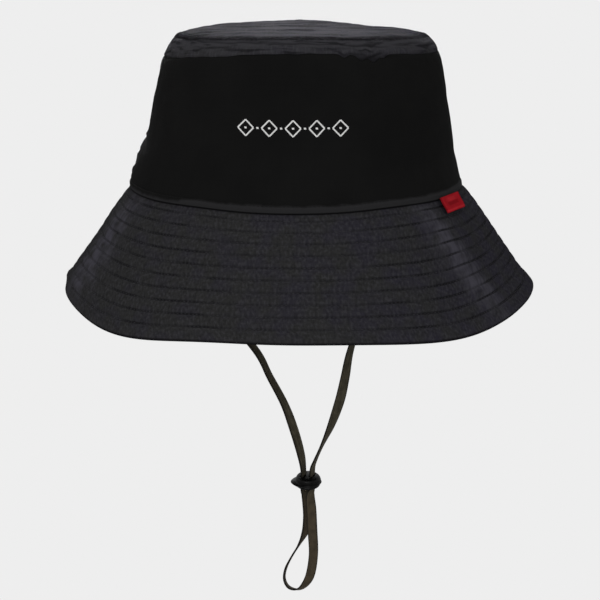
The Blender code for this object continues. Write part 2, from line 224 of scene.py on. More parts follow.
def weaveGroup():
    # plain weave: two sets of round threads crossing over and under, each thread a little different
    group, cloth, threads, out = newGroup("plainWeave", "Cloth", "Threads", 2000, ("Height", "Shade"))
    warp, weft = split(scaleBy(cloth, threads))[:2]
    over = calc("PINGPONG", add(calc("FLOOR", warp), calc("FLOOR", weft)), 1)
    heights, shades = [], []
    for thread, share in ((warp, over), (weft, calc("SUBTRACT", 1, over))):
        heights.append(times(calc("ABSOLUTE", calc("SINE", times(thread, math.pi))), share))
        tone = put(group, "TexWhiteNoise", {"W": calc("FLOOR", thread)}, noise_dimensions="1D")
        shades.append(times(tone.outputs[0], share))
    group.links.new(add(*heights), out[0])
    group.links.new(add(*shades), out[1])
    return group


def mottleGroup():
    # uneven dye and wear: broad blotches, small patches and flecks
    group, place, size, out = newGroup("dyeMottle", "Place", "Size", 0.02, ("Blotch", "Patch", "Fleck"))
    scaled = scaleBy(place, calc("DIVIDE", 1, size))
    for i, (scale, detail) in enumerate(((1, 2), (4, 2), (26, 1))):
        group.links.new(ramp(noise(scaled, scale, detail), 0.32, 0.68), out[i])
    return group


def slubGroup():
    # thicker and paler stretches of yarn lying along the weft
    group, cloth, length, out = newGroup("yarnSlub", "Cloth", "Length", 0.02, ("Slub",))
    scaled = scaleBy(mapped(cloth, (1, 26, 1)), calc("DIVIDE", 1, length))
    group.links.new(ramp(noise(scaled, 1, 2), 0.4, 0.72), out[0])
    return group


sharedGroups = {"weave": weaveGroup(), "mottle": mottleGroup(), "slub": slubGroup()}


def effect(key, vector, amount):
    return put(vector.id_data, "Group", {0: vector, 1: amount}, node_tree=sharedGroups[key]).outputs


def startMaterial(name, roughness, specular, sheen=0, sheenRoughness=0.5):
    material = bpy.data.materials.new(name)
    material.use_nodes = True
    shader = material.node_tree.nodes["Principled BSDF"]
    for key, value in (("Roughness", roughness), ("Specular IOR Level", specular), ("Sheen Weight", sheen),
                       ("Sheen Roughness", sheenRoughness)):
        shader.inputs[key].default_value = value
    return material, material.node_tree, shader


def clothOf(tree):
    return put(tree, "UVMap", uv_map="cloth").outputs[0]


def placeOf(tree):
    return put(tree, "TexCoord").outputs["Object"]


def attribute(tree, name):
    return put(tree, "Attribute", attribute_name=name).outputs["Fac"]


def bumpNormal(height, depth, strength, under=None):
    inputs = {"Height": height, "Distance": depth, "Strength": strength}
    if under is not None:
        inputs["Normal"] = under
    return put(height.id_data, "Bump", inputs).outputs[0]


def finishMaterial(shader, colour, normal, roughness=None):
    links = shader.id_data.links
    links.new(colour, shader.inputs["Base Color"])
    links.new(normal, shader.inputs["Normal"])
    if roughness is not None:
        links.new(roughness, shader.inputs["Roughness"])


# the chin strap runs from the left tab through the slider, round the loop and up to the right tab
strapForm = {
    "width": 0.0058, "thickness": 0.0011, "samples": 8, "plane": 0.08715, "top": -0.0038602,
    "slotLeft": 0.00265, "slotRight": 0.00795, "slotTurn": 30,
    "cut": -0.1775,  # where the three stretches meet, inside the slider
    "anchor": -0.0145, "aboveSlider": -0.169, "belowSlider": -0.186, "loopEnd": -0.249,  # where it bends
    "swayTop": -0.09, "swayReach": 0.06,  # near the hat it leans with the hat
    "edge": (0.0080, 0.0070, 0.0052), "face": (0.051, 0.0435, 0.0280), "pale": (0.105, 0.094, 0.064),
    "warm": (0.074, 0.0550, 0.0340), "roughness": 0.8, "ribs": 1650, "streaks": (2600, 60, 1),
    "selvedge": 0.0004,
}


def strapRoute():
    plane, top = strapForm["plane"], strapForm["top"]
    left, right, slot = strapForm["slotLeft"], strapForm["slotRight"], strapForm["slotTurn"]
    return np.array((  # x, y, z, and the turn about its own length in degrees
        (-plane, 0, top, 0), (-plane, 0, -.0130, 0), (-.0838, 0, -.0245, 6), (-.0700, 0, -.0445, 15),
        (-.0480, 0, -.0700, 24), (-.0252, 0, -.0972, 30), (-.0166, 0, -.1140, 31), (-.0085, 0, -.1300, 40),
        (-.0033, 0, -.1445, 56), (.0010, 0, -.1600, 47), (left, 0, -.1705, slot), (left, 0, -.1818, slot),
        (.0039, .0008, -.1862, 52), (.0047, .0016, -.1935, 58), (.0051, .0020, -.2010, 63),
        (.0040, .0018, -.2100, 50), (.0002, .0009, -.2180, 17), (-.0040, .0002, -.2250, 12),
        (-.0076, 0, -.2325, 13), (-.0086, 0, -.2395, 5), (-.0060, 0, -.2449, -6), (-.0005, 0, -.2463, -28),
        (.0040, 0, -.2428, -56), (.0071, -.0004, -.2357, -77), (.0087, -.0013, -.2225, -73),
        (.0081, -.0022, -.2080, -85), (.0075, -.0020, -.1950, -80), (.0068, -.0010, -.1864, -58),
        (right, 0, -.1812, -slot), (right, 0, -.1705, -slot), (.0098, 0, -.1645, -21),
        (.0136, 0, -.1556, -21), (.0187, 0, -.1437, -50), (.0237, 0, -.1285, -83), (.0266, 0, -.1150, -69),
        (.0297, 0, -.0980, -43), (.0360, 0, -.0800, -32), (.0500, 0, -.0590, -23), (.0690, 0, -.0380, -13),
        (.0838, 0, -.0235, -4), (plane, 0, -.0120, 0), (plane, 0, top, 0),
    ))


def smoothRoute(route, between):
    samples = []
    last = len(route) - 1
    for i in range(last):
        before, here, there, after = (route[min(max(i + k, 0), last)] for k in (-1, 0, 1, 2))
        pullHere, pullThere = (there - before) / 2, (after - here) / 2
        for t in np.arange(between) / between:
            samples.append(here * (2 * t**3 - 3 * t**2 + 1) + pullHere * (t**3 - 2 * t**2 + t)
                           + there * (3 * t**2 - 2 * t**3) + pullThere * (t**3 - t**2))
    return np.array(samples + [route[last]])


def strapSection(steps=4):
    # half-round edges on a flat strap: (across, through) in half-widths and half-thicknesses
    flat = 1 - strapForm["thickness"] / strapForm["width"]
    points = []
    for sign in (1, -1):
        points += [(sign * flat * k / 3, sign) for k in range(-3, 4)]
        for k in range(1, steps):
            bend = math.pi * k / steps
            points.append((sign * (flat + (1 - flat) * math.sin(bend)), sign * math.cos(bend)))
    return np.array(points + points[:1])


def strapStretch(name, line, material):
    section = strapSection()
    size = np.array((strapForm["width"], strapForm["thickness"])) / 2
    across, along = len(section), len(line)
    place = line[:, :3].copy()
    place[:, 0] += sway(place[:, 2]) * smooth((place[:, 2] - strapForm["swayTop"]) / strapForm["swayReach"])
    forward = unit(np.gradient(place, axis=0))
    deep = unit(np.array((0, 1, 0)) - forward * forward[:, 1:2])
    turn = np.radians(line[:, 3])[:, None]
    wide = deep * np.cos(turn) + np.cross(forward, deep) * np.sin(turn)
    thick = np.cross(forward, wide)
    run, around = runAlong(place), runAlong(section * size)
    shape, measure = clothGrid(across - 1, along - 1)
    for vert in shape.verts:
        i = round((vert.co.x + 1) / 2 * (across - 1))
        j = round((vert.co.y + 1) / 2 * (along - 1))
        at = place[j] + wide[j] * section[i, 0] * size[0] + thick[j] * section[i, 1] * size[1]
        lay(vert, measure, (around[i], run[j]), at)
    bmesh.ops.remove_doubles(shape, verts=shape.verts, dist=1e-7)
    bmesh.ops.holes_fill(shape, edges=[edge for edge in shape.edges if edge.is_boundary], sides=0)
    bmesh.ops.recalc_face_normals(shape, faces=shape.faces)
    piece = addPiece(name, meshOf(name, shape), material, None, "chin_strap")
    return piece, place, run[-1]


def strapMaterial():
    form = strapForm
    material, tree, shader = startMaterial("oliveWebbing", form["roughness"], 0.12, 0.03)
    cloth, place = clothOf(tree), placeOf(tree)
    face = form["width"] + form["selvedge"]  # one face and half of each edge
    inFace = calc("PINGPONG", add(split(cloth)[0], form["selvedge"]), face / 2)
    middle = ramp(inFace, 0.0003, 0.0010)  # 0 at the selvedges and 1 at the middle of either face
    streak = stretchedNoise(cloth, form["streaks"], 3)
    weave = effect("weave", cloth, form["ribs"])
    patch = effect("mottle", place, 0.016)[1]
    low = ramp(split(place)[2], -0.200, -0.165, 0.75, 0)  # the loop is the more handled, browner part
    body = mixColour(ramp(streak, 0.35, 0.7), form["face"], form["pale"])
    body = mixColour(low, body, form["warm"])
    body = mixColour(times(patch, 0.35), body, form["edge"])
    normal = bumpNormal(add(weave[0], times(streak, 0.8)), 0.00012, 0.7)
    finishMaterial(shader, mixColour(middle, form["edge"], body), normal)
    return material


hatForm = {
    "halfWidth": 0.0925, "oval": 1.075, "lean": 0.187, "flare": 0.0031, "flareHeight": 0.032,
    "shoulderStart": 0.064, "shoulderDrop": 0.0059, "shoulderPower": 2.3,
    "tipSeam": 0.082, "bandBottom": 0.0773, "brimWidth": 0.0688, "slope": math.radians(54),
    "gap": 0.0003, "crownPly": 0.0009, "brimPly": 0.00045, "interlining": 0.0007, "lining": 0.0004,
    "slit": 0.00002,  # left open on each side of a side seam
}

hatSway = {  # sideways lean of the soft crown and brim, by height, in millimetres
    "height": (-70, -55, -50.6, -46, -42, -25, -16, -7.4, 1.3, 5.7, 10, 18.9, 23.2, 31.9, 41, 49, 58, 66,
               70.9, 75.2, 79.4, 83.7, 90),
    "shift": (.7, .7, -.65, -1.7, -1.5, -1.5, -1.8, -1.5, -1.6, -2.1, -1.8, -1.5, -.4, .7, 1, 1, 1.5, 1.5,
              2, 2.2, 2, 1.2, 1),
    "soften": 2.5, "step": 0.25, "reach": 40,
}


def swayTable():
    step, reach = hatSway["step"], hatSway["reach"]
    fine = np.arange(-80, 95, step)
    raw = np.interp(fine, hatSway["height"], hatSway["shift"])
    kernel = bump(np.arange(-reach, reach + 1) * step, 0, hatSway["soften"])
    kernel /= kernel.sum()
    return fine / 1000, np.convolve(np.pad(raw, reach, mode="edge"), kernel, mode="valid") / 1000


swayHeights, swayShifts = swayTable()


def sway(height):
    return np.interp(height, swayHeights, swayShifts)


def wallRadius(height):
    form = hatForm
    spread = form["flare"] * (1 - smooth(height / form["flareHeight"]))
    over = np.maximum(height - form["shoulderStart"], 0) / (form["tipSeam"] - form["shoulderStart"])
    return (form["halfWidth"] - form["flare"] - form["lean"] * height + spread
            - form["shoulderDrop"] * over ** form["shoulderPower"])


def wallPoint(height, inward):
    step = 0.0005
    lean = (wallRadius(height + step) - wallRadius(height - step)) / (2 * step)
    across = np.hypot(1, lean)
    return wallRadius(height) - inward / across, height + inward * lean / across


def brimPoint(down, inward):
    radius, height = wallPoint(0, hatForm["crownPly"] + hatForm["gap"])
    c, s = math.cos(hatForm["slope"]), math.sin(hatForm["slope"])
    return radius + down * c - inward * s, height - down * s - inward * c


hatDrape = {
    "seamLevel": 0.0012, "seamOval": 0.0013, "seamDip": -0.0021, "tipCentre": 0.0005, "hemRise": 0.0008,
    "droop": 0.0044, "droopLeft": 0.0055, "sideRise": 0.0012, "frontRise": 0.0005, "droopPower": 1.6,
    "hollow": 0.0018, "belly": 0.0017, "bellyAt": 0.26, "bellyWide": 0.24,
    "rightRidge": 43.5, "rightLift": 0.0014, "leftRidge": -65, "leftLift": 0.0010,
    "wave": 0.0006, "panelWave": 0.0005, "edgeBump": 0.0020, "seamLump": 0.0007,
}


def ridgeShares(degrees, far):
    # how strongly the brim's two lengthwise folds show at a place
    right = np.clip(1.15 * np.sin(math.pi * np.clip(far * 0.88 + 0.06, 0, 1)), 0, 1)
    left = np.sin(math.pi * np.clip(far * 0.9 + 0.05, 0, 1))
    return (bump(degrees, hatDrape["rightRidge"] + 12.5 * far, 4.4) * right,
            bump(degrees, hatDrape["leftRidge"] - 6 * far, 6.5) * left)


def brimFall(degrees, far):
    # the brim droops between front, back and sides
    form = hatDrape
    sides = form["droopLeft"] * bump(degrees, -47, 19) + form["droop"] * bump(degrees, 39, 19)
    sides = sides + form["droop"] * (bump(degrees, -135, 24) + bump(degrees, 135, 24))
    sides = sides - form["sideRise"] * bump(degrees, 80, 9) - form["frontRise"] * bump(degrees, 0, 20)
    return -sides * far ** form["droopPower"]


def brimSwell(degrees, far):
    # it is folded lengthwise in two places, hollow beside one of them, and full near the seam
    form = hatDrape
    right, left = ridgeShares(degrees, far)
    folds = form["rightLift"] * right + form["leftLift"] * left
    hollow = form["hollow"] * bump(degrees, 64, 8) * smooth(far * 3)
    belly = form["belly"] * bump(far, form["bellyAt"], form["bellyWide"]) * smooth(far * 12)
    return folds - hollow + belly * (1 - 0.65 * bump(degrees, -90, 22))


def drape(points):
    # the hat as it hangs: every ply goes through this, so that they stay one inside another
    x, y, z = np.array(points, float).T
    form, oval = hatDrape, hatForm["oval"]
    c, s = math.cos(hatForm["slope"]), math.sin(hatForm["slope"])
    turn, radius = np.arctan2(x, -y / oval), np.hypot(x, y / oval)
    degrees = np.degrees(turn)
    # the seam round the tip isn't level, and the tip is a little domed
    share = np.clip(radius / wallRadius(hatForm["tipSeam"]), 0, 1) ** 2
    lift = form["seamLevel"] + form["seamOval"] * np.cos(2 * turn) + form["seamDip"] * bump(degrees, 140, 26)
    lift = lift * share + form["tipCentre"] * (1 - share)
    down = np.maximum(-z, 0) / s
    far = np.clip(down / hatForm["brimWidth"], 0, 1.05)
    wave = form["wave"] * ripple(turn * 0.11, down, 5, 8, 22) * smooth(far * 1.6)
    away = brimSwell(degrees, far) + wave
    edge = form["edgeBump"] * bump(degrees, -90, 7) * bump(down, 0.0632, 0.0024)
    # the crown's cloth is slack, most of all low down at the left seam
    crown = smooth((z + 0.001) / 0.012) * (1 - smooth((z - 0.070) / 0.010))
    slack = form["panelWave"] * ripple(turn * 0.085, z, 11, 9, 26) * crown
    low = smooth(z / 0.003) * (1 - smooth((z - 0.026) / 0.012))
    lumps = np.sin(z * math.tau / 0.0068 + 1.2 * np.sin(z * 700)) * bump(degrees, -92, 9)
    slack = slack + form["seamLump"] * lumps * low
    sideways = np.where(z < 0, away * s + edge, slack)
    rise = form["hemRise"] * bump(np.abs(degrees), 33, 15) * bump(z, 0, 0.012)
    upward = np.where(z < 0, away * c + brimFall(degrees, far), 0) + lift * smooth((z - 0.066) / 0.014) + rise
    return np.stack((x + np.sin(turn) * sideways + sway(z), y - np.cos(turn) * sideways, z + upward), axis=1)


def turnedPoints(turn, radius, height):
    height = np.broadcast_to(height, np.shape(turn))
    return np.stack((radius * np.sin(turn), -radius * hatForm["oval"] * np.cos(turn), height), axis=1)


def spinProfile(points, mark, values, angle, steps):
    # spins a line of points about the upright axis, each keeping its own value, and closes the poles
    shape = bmesh.new()
    layer = getattr(shape.verts.layers, mark[1]).new(mark[0])
    line = [shape.verts.new(point) for point in points]
    for vert, value in zip(line, values):
        vert[layer] = value
    edges = [shape.edges.new(pair) for pair in zip(line, line[1:])]
    bmesh.ops.spin(shape, geom=line + edges, cent=(0, 0, 0), axis=(0, 0, 1), angle=angle, steps=steps,
                   use_merge=angle == math.tau, use_duplicate=False)
    poles = [vert for vert in shape.verts if vert.co.xy.length < 1e-6]
    if poles:
        bmesh.ops.remove_doubles(shape, verts=poles, dist=1e-6)
    bmesh.ops.recalc_face_normals(shape, faces=shape.faces)
    return shape, layer


def fetch(items, key, kind, width=1):
    values = np.empty(len(items) * width, kind)
    items.foreach_get(key, values)
    return values


def keep(mesh, name, values):  # a number for each point, for a material to read
    mesh.attributes.new(name, "FLOAT", "POINT").data.foreach_set("value", values.astype(np.float32))


def turnedMesh(name, stations, shapeAt, clothAt, middle=None, steps=240, markAt=None, slit=hatForm["slit"]):
    # spins a profile of stations, plain or (along, inward), then gives each point its own place
    stations = np.array(stations, float)
    along, inward = stations.T if stations.ndim == 2 else (stations, 0 * stations)
    radius, height = shapeAt(0 * along, along, inward)
    begin, sweep, centre = 0, math.tau, 0
    if middle is not None:  # half the hat, from +X towards +Y
        trim = slit / max(float(radius.min()), 0.01)
        begin, sweep, centre = middle + math.pi / 2 + trim, math.pi - 2 * trim, middle - math.pi / 2
    profile = np.stack((radius * math.cos(begin), radius * math.sin(begin), height), axis=1)
    shape, _ = spinProfile(profile, ("station", "int"), range(len(along)), sweep, steps)
    outwards = sum(face.normal.dot(Vector((*face.calc_center_median().xy, 0.03))) * face.calc_area()
                   for face in shape.faces)
    if outwards < 0:
        bmesh.ops.reverse_faces(shape, faces=shape.faces)
    mesh = meshOf(name, shape)
    place = fetch(mesh.vertices, "co", np.float32, 3).reshape(-1, 3).astype(float)
    station = fetch(mesh.attributes["station"].data, "value", np.int32)
    mesh.attributes.remove(mesh.attributes["station"])
    turn = np.arctan2(place[:, 0], -place[:, 1])
    turn = (turn - centre + math.pi) % math.tau - math.pi + centre
    radius, height = shapeAt(turn, along[station], inward[station])
    mesh.vertices.foreach_set("co", drape(turnedPoints(turn, radius, height)).astype(np.float32).ravel())
    corner = fetch(mesh.loops, "vertex_index", np.int32)
    cornerTurn = turn[corner] - centre
    if middle is None:  # close the cloth's own measure where the ring meets itself
        size = fetch(mesh.polygons, "loop_total", np.int32)
        first = np.concatenate(([0], np.cumsum(size)[:-1]))
        spread = np.maximum.reduceat(cornerTurn, first) - np.minimum.reduceat(cornerTurn, first)
        wraps = np.repeat(spread > math.pi, size)
        cornerTurn = np.where(wraps & (cornerTurn < 0), cornerTurn + math.tau, cornerTurn)
    flat = clothAt(cornerTurn, along[station][corner], radius[corner])
    layer = mesh.uv_layers.new(name="cloth")
    layer.data.foreach_set("uv", np.stack(flat, axis=1).astype(np.float32).ravel())
    keep(mesh, "along", along[station])
    # mark tells a material where to paint highlight or shade, as along the brim's folds and in the band's
    # pleats
    if markAt:
        keep(mesh, "mark", markAt(turn, along[station]))
    mesh.update()
    return mesh


def addPly(name, node, cloth, slot, thickness, *turned, **more):
    # one ply of cloth on the hat, its wall grown inwards
    piece = addPiece(name, turnedMesh(name, *turned, **more), cloth, "hat", node)
    ply = piece.modifiers.new("ply", "SOLIDIFY")
    ply.thickness, ply.offset, ply.use_even_offset = thickness, -1, True


def wallCloth(turn, along, radius):
    return turn * hatForm["halfWidth"], along


def flatCloth(turn, along, radius):
    return radius * np.sin(turn), -radius * hatForm["oval"] * np.cos(turn)


def brimCloth(turn, along, radius):
    # the cone laid flat, so that the thread runs straight across each half as it was cut
    reach, fan = radius / math.cos(hatForm["slope"]), turn * math.cos(hatForm["slope"])
    return reach * np.sin(fan), reach * np.cos(fan)


halves = (("Front", "front", math.pi / 2), ("Back", "back", 3 * math.pi / 2))  # with their middles

charcoal = {
    # pale lightens the yarn and gives painted highlights on creases and folds; the next colour is a painted
    # highlight along the brim's folds; the dark one gives painted shade in stitch rows, folds and seams, and
    # darker pits in the grain
    "neutral": (0.0236, 0.0235, 0.0228), "violet": (0.0226, 0.0209, 0.0308), "pale": (0.0440, 0.0432, 0.0480),
    "foldHighlight": (0.0590, 0.0565, 0.0700), "groove": (0.0092, 0.0090, 0.0102),
    "threads": 1900, "roughness": 0.85,
    "cast": (3.4, -0.16),  # how fast the violet cast grows to the right, and what it is at the middle
    "slub": 0.14, "fleck": 0.10, "thread": 0.14, "grain": 0.46, "pit": 0.50,  # how much each of them shows
    "grains": (760, 520, 1), "creases": (430, 95, 1), "patches": (55, 120, 1),
    "dashes": (900, 160, 1), "tipFolds": (34, 105, 430), "bandFolds": (52, 900, 1),
    "flatRadius": 0.196, "lastRow": (9.2, 9.5),  # in rows
}
black = {
    "deep": (0.0072, 0.0072, 0.0072), "worn": (0.0098, 0.0098, 0.0096), "hem": (0.0236, 0.0233, 0.0245),
    "threads": 2300, "roughness": 0.95, "hemHeight": 0.0039, "hemLeft": 0.0021,  # lower by this at the left
}


def quiltedLook(at, colour, light):
    # short creases run across the stitch rows, which draw the cloth in; the colour gets painted highlights on
    # the creases and along the folds, and painted shade along the rows, the seam and the brim's edge
    form, edge, rows = charcoal, hatForm["brimWidth"], brimRows()
    first, pitch = float(rows[0]), float(rows[1] - rows[0])
    down, mark, sideways = at["down"], at["mark"], at["sideways"]
    flat = split(at["cloth"])
    fan = times(calc("ARCTAN2", flat[0], flat[1]), form["flatRadius"])
    polar = put(flat[0].id_data, "CombineXYZ", {0: fan, 1: down}).outputs[0]
    crease = stretchedNoise(polar, form["creases"], 2)
    patch = stretchedNoise(polar, form["patches"], 1, Location=(3, 1, 0))
    dash = stretchedNoise(polar, form["dashes"], 1)
    phase = calc("PINGPONG", calc("SUBTRACT", down, first), pitch / 2)  # distance from the nearest row
    near = ramp(phase, 0.0006, 0.0030, 1, 0.35)
    creased = times(ramp(crease, 0.36, 0.66), near)
    # painted highlight on the crests of the creases near the rows, brighter along the folds
    light = add(light, times(creased, add(0.16, times(mark, 0.7))))
    colour = mixColour(light, colour, form["pale"])
    # painted highlight along the brim's two folds
    colour = mixColour(times(mark, ramp(crease, 0.3, 0.6, 0.6, 1)), colour, form["foldHighlight"])
    # painted shade in the grooves of the stitch rows
    inRow = times(
        ramp(add(phase, times(dash, 0.0005)), 0.00035, 0.0011, 0.95, 0),
        ramp(patch, 0.34, 0.62, 0.30, 1),
        ramp(down, first - 0.002, first - 0.001),
        ramp(calc("ABSOLUTE", sideways), 0.020, 0.060, 0.52, 1),  # fainter at the middle and the far left
        ramp(sideways, -0.115, -0.080, 0.45, 1),
        ramp(down, first + form["lastRow"][0] * pitch, first + form["lastRow"][1] * pitch, 1, 0))
    # painted shade at the seam under the crown and along the brim's turned edge
    inRow = calc("MAXIMUM", inRow, ramp(down, 0.0003, 0.0011, 0.95, 0))
    inRow = calc("MAXIMUM", inRow, ramp(down, edge - 0.0012, edge - 0.0002, 0, 0.85))
    return mixColour(inRow, colour, form["groove"]), bumpNormal(times(crease, near), 0.0011, 0.55)


def foldedLook(at, colour, light, tip):
    # long soft folds lie across the tip and the band under it, with painted highlights on their crests,
    # painted shade in their troughs and in the band's pleats, and a painted shadow along the seam between
    # them
    form, seamAt = charcoal, hatForm["tipSeam"]
    if tip:
        streak = stretchedNoise(at["place"], form["tipFolds"], 3, Rotation=(0, 0, 0.10))
        seam, sheen, trough, depth = ramp(at["down"], 0.925, 0.965), 1, 0.42, 0.0022
    else:
        streak = stretchedNoise(at["cloth"], form["bandFolds"], 3, Rotation=(0, 0, 0.01))
        seam, sheen, trough, depth = ramp(at["down"], seamAt - 0.0010, seamAt - 0.0004), 0.4, 0.70, 0.0010
        # painted light: the band is paler towards its top
        light = add(light, ramp(at["down"], hatForm["bandBottom"], seamAt, 0.20, 0.80))
    # painted highlight on the folds' crests
    light = add(light, times(ramp(streak, 0.36, 0.66), 0.8 * sheen))
    colour = mixColour(light, colour, form["pale"])
    # painted shade in the folds' troughs and the band's pleats
    dark = calc("MAXIMUM", ramp(streak, 0.32, 0.50, trough, 0), times(at["mark"], 0.6))
    colour = mixColour(dark, colour, form["groove"])
    # painted shadow along the seam
    seam = times(seam, ramp(at["patch"], 0, 0.6, 0.55, 0.85))
    return mixColour(seam, colour, form["groove"]), bumpNormal(streak, depth, 0.6)


def charcoalMaterial(name, look, *more):
    form = charcoal
    material, tree, shader = startMaterial(name, form["roughness"], 0)
    cloth, place = clothOf(tree), placeOf(tree)
    weave, slub = effect("weave", cloth, form["threads"]), effect("slub", cloth, 0.012)[0]
    blotch, patch, fleck = effect("mottle", place, 0.012)[:3]
    sideways = split(place)[0]
    cast = add(times(blotch, 0.9), calc("MULTIPLY_ADD", sideways, *form["cast"]))
    colour = mixColour(cast, form["neutral"], form["violet"])
    grain = stretchedNoise(cloth, form["grains"], 1)
    light = add(times(slub, form["slub"]), times(fleck, form["fleck"]), times(weave[1], form["thread"]),
                ramp(grain, 0.50, 0.70, 0, form["grain"]))
    colour = mixColour(ramp(grain, 0.30, 0.50, form["pit"], 0), colour, form["groove"])
    # mark carries the painted highlight along the brim's folds and the painted shade in the band's pleats
    at = {"cloth": cloth, "place": place, "patch": patch, "sideways": sideways,
          "mark": attribute(tree, "mark"), "down": attribute(tree, "along")}
    colour, under = look(at, colour, light, *more)
    normal = bumpNormal(add(weave[0], times(slub, 0.6)), 0.00009, 0.6, under)
    roughness = ramp(patch, 0, 1, form["roughness"] - 0.08, form["roughness"] + 0.08)
    finishMaterial(shader, colour, normal, roughness)
    return material


def blackMaterial():
    form = black
    material, tree, shader = startMaterial("blackCloth", form["roughness"], 0.015, 0, 0.6)
    cloth, place = clothOf(tree), placeOf(tree)
    weave = effect("weave", cloth, form["threads"])
    blotch, patch = effect("mottle", place, 0.030)[:2]
    height = attribute(tree, "along")
    colour = mixColour(add(times(blotch, 0.5), times(weave[1], 0.25)), form["deep"], form["worn"])
    reach = ramp(split(place)[0], -0.072, -0.044, form["hemHeight"] - form["hemLeft"], form["hemHeight"])
    hem = ramp(calc("SUBTRACT", add(height, times(patch, 0.0008)), reach), -0.0008, 0.0010, 1, 0)
    colour = mixColour(hem, colour, form["hem"])
    # painted shade along the seam at the panel's foot
    colour = mixColour(ramp(height, 0.0001, 0.0006, 0.9, 0), colour, form["deep"])
    finishMaterial(shader, colour, bumpNormal(weave[0], 0.00008, 0.5))
    return material


def plainMaterial(name, colour, pale, threads, roughness, specular=0.2, sheen=0.05, depth=0.0001,
                  twill=False):
    material, tree, shader = startMaterial(name, roughness, specular, sheen)
    cloth = clothOf(tree)
    if twill:  # diagonal ribs
        cloth = mapped(cloth, (1, 0.25, 1), Rotation=(0, 0, math.radians(35)))
    weave = effect("weave", cloth, threads)
    light = add(times(weave[1], 0.35), times(effect("mottle", placeOf(tree), 0.018)[0], 0.35))
    finishMaterial(shader, mixColour(light, colour, pale), bumpNormal(weave[0], depth, 0.7))
    return material


def threadMaterial(name, colour, pale, roughness=0.7, sheen=0):
    material, tree, shader = startMaterial(name, roughness, 0.1, sheen, 0.4)
    place = placeOf(tree)
    twist = noise(place, 5200, 1)
    light = add(times(effect("mottle", place, 0.006)[0], 0.5), times(twist, 0.5))
    finishMaterial(shader, mixColour(light, colour, pale), bumpNormal(twist, 0.00004, 0.5))
    return material


stitchForm = {"pitch": 0.0022, "length": 0.0014, "width": 0.00042, "rise": 0.00030, "around": 6, "rings": 4,
              "longPitch": 0.0026, "longLength": 0.0019, "seamEnds": 0.03}


def threadTemplate():
    # one small capsule of thread, along X
    shape = bmesh.new()
    bmesh.ops.create_uvsphere(shape, u_segments=stitchForm["around"], v_segments=stitchForm["rings"],
                              radius=1, matrix=Matrix.Rotation(math.pi / 2, 4, "Y"))
    return meshOf("threadTemplate", shape)


thread = threadTemplate()


def threadFrames(middle, along, above, length, width, rise):
    # a 3 by 3 frame and a place for every thread
    forward = unit(along)
    upward = unit(above - forward * (above * forward).sum(axis=1)[:, None])
    side = np.cross(upward, forward)
    sizes = [np.broadcast_to(size, len(middle))[:, None] / 2 for size in (length, width, rise)]
    return np.stack((forward * sizes[0], side * sizes[1], upward * sizes[2]), axis=1), middle


def sewRow(shapeAt, turns, length=stitchForm["length"]):
    # shapeAt(turns, lift) gives a radius and height on the cloth; one piece of thread is laid at each turn
    def onHat(turns, lift):
        return drape(turnedPoints(turns, *shapeAt(turns, lift)))
    reach = 0.002
    middle = onHat(turns, 0)
    along, above = onHat(turns + reach, 0) - onHat(turns - reach, 0), onHat(turns, 0.0006) - middle
    return threadFrames(middle, along, above, length, stitchForm["width"], stitchForm["rise"])


def stitchTurns(radius, middle, pitch=stitchForm["pitch"]):
    span = math.tau if middle is None else math.pi - stitchForm["seamEnds"]
    start = 0 if middle is None else middle - math.pi / 2 - span / 2
    count = int(span * radius / pitch)
    return start + span * (np.arange(count) + 0.5) / count


def addThread(name, rows, material):
    frames, places = (np.concatenate(parts) for parts in zip(*rows))
    shape = bmesh.new()
    for _ in range(len(places)):
        shape.from_mesh(thread)
    mesh = meshOf(name, shape)
    base = np.array([vert.co for vert in thread.vertices], float)
    moved = np.einsum("vi,nij->nvj", base, frames) + places[:, None, :]
    mesh.vertices.foreach_set("co", moved.astype(np.float32).ravel())
    mesh.update()
    addPiece(name, mesh, material, "hat")


brimForm = {  # two quilted plies over an interlining
    "rows": 10, "firstRow": 0.0042, "margin": 0.0075, "grooveDepth": 0.00042, "grooveWidth": 0.0008,
    "pillow": 0.00022, "pucker": 0.00011, "quiltDepth": 0.00025, "allowance": 0.008, "facing": 0.004,
    "steps": 300, "underSteps": 220, "coreSteps": 90, "coreSlit": 0.0008,  # short of the side seams
    "topThread": 0.00002, "underThread": 0.0001,  # how deep the quilting thread lies in either face
    "stitchedReach": 0.002, "stitchedFade": 0.001, "puckerReach": 0.0016,  # about the rows
    "turnedUp": (-0.005, -0.002, -0.0002),  # stations where the cloth stands inside the crown
    "rowOffsets": (-0.0023, -0.0013, -0.0008, -0.0004, 0, 0.0004, 0.0008, 0.0013, 0.0023),
    "underOffsets": (-0.0013, -0.0006, 0, 0.0006, 0.0013, 0.0032),
}


def brimRows():
    return np.linspace(brimForm["firstRow"], hatForm["brimWidth"] - brimForm["margin"], brimForm["rows"])


def brimStack():
    return brimForm["quiltDepth"] + 2 * hatForm["brimPly"] + 2 * hatForm["gap"] + hatForm["interlining"]


def quilting(turn, down):
    # how far the stitch rows draw the cloth in, less the swell between them
    form, rows = brimForm, brimRows()
    pitch = rows[1] - rows[0]
    away = np.abs((down - rows[0] + pitch / 2) % pitch - pitch / 2)
    reach, fade = form["stitchedReach"], form["stitchedFade"]
    inside = smooth((down - rows[0] + reach) / fade) * smooth((rows[-1] + reach - down) / fade)
    groove = bump(away, 0, form["grooveWidth"]) * inside
    swell = form["pillow"] * np.sin(math.pi * np.clip(away / pitch, 0, 0.5)) ** 0.8
    run = turn * 0.115
    pull = 1 + 0.35 * ripple(run, down * 0.2, 21, 120, 260)
    pucker = form["pucker"] * ripple(run, down, 23, 90, 230, 9) * np.exp(-away / form["puckerReach"])
    return form["grooveDepth"] * groove * pull - swell + pucker


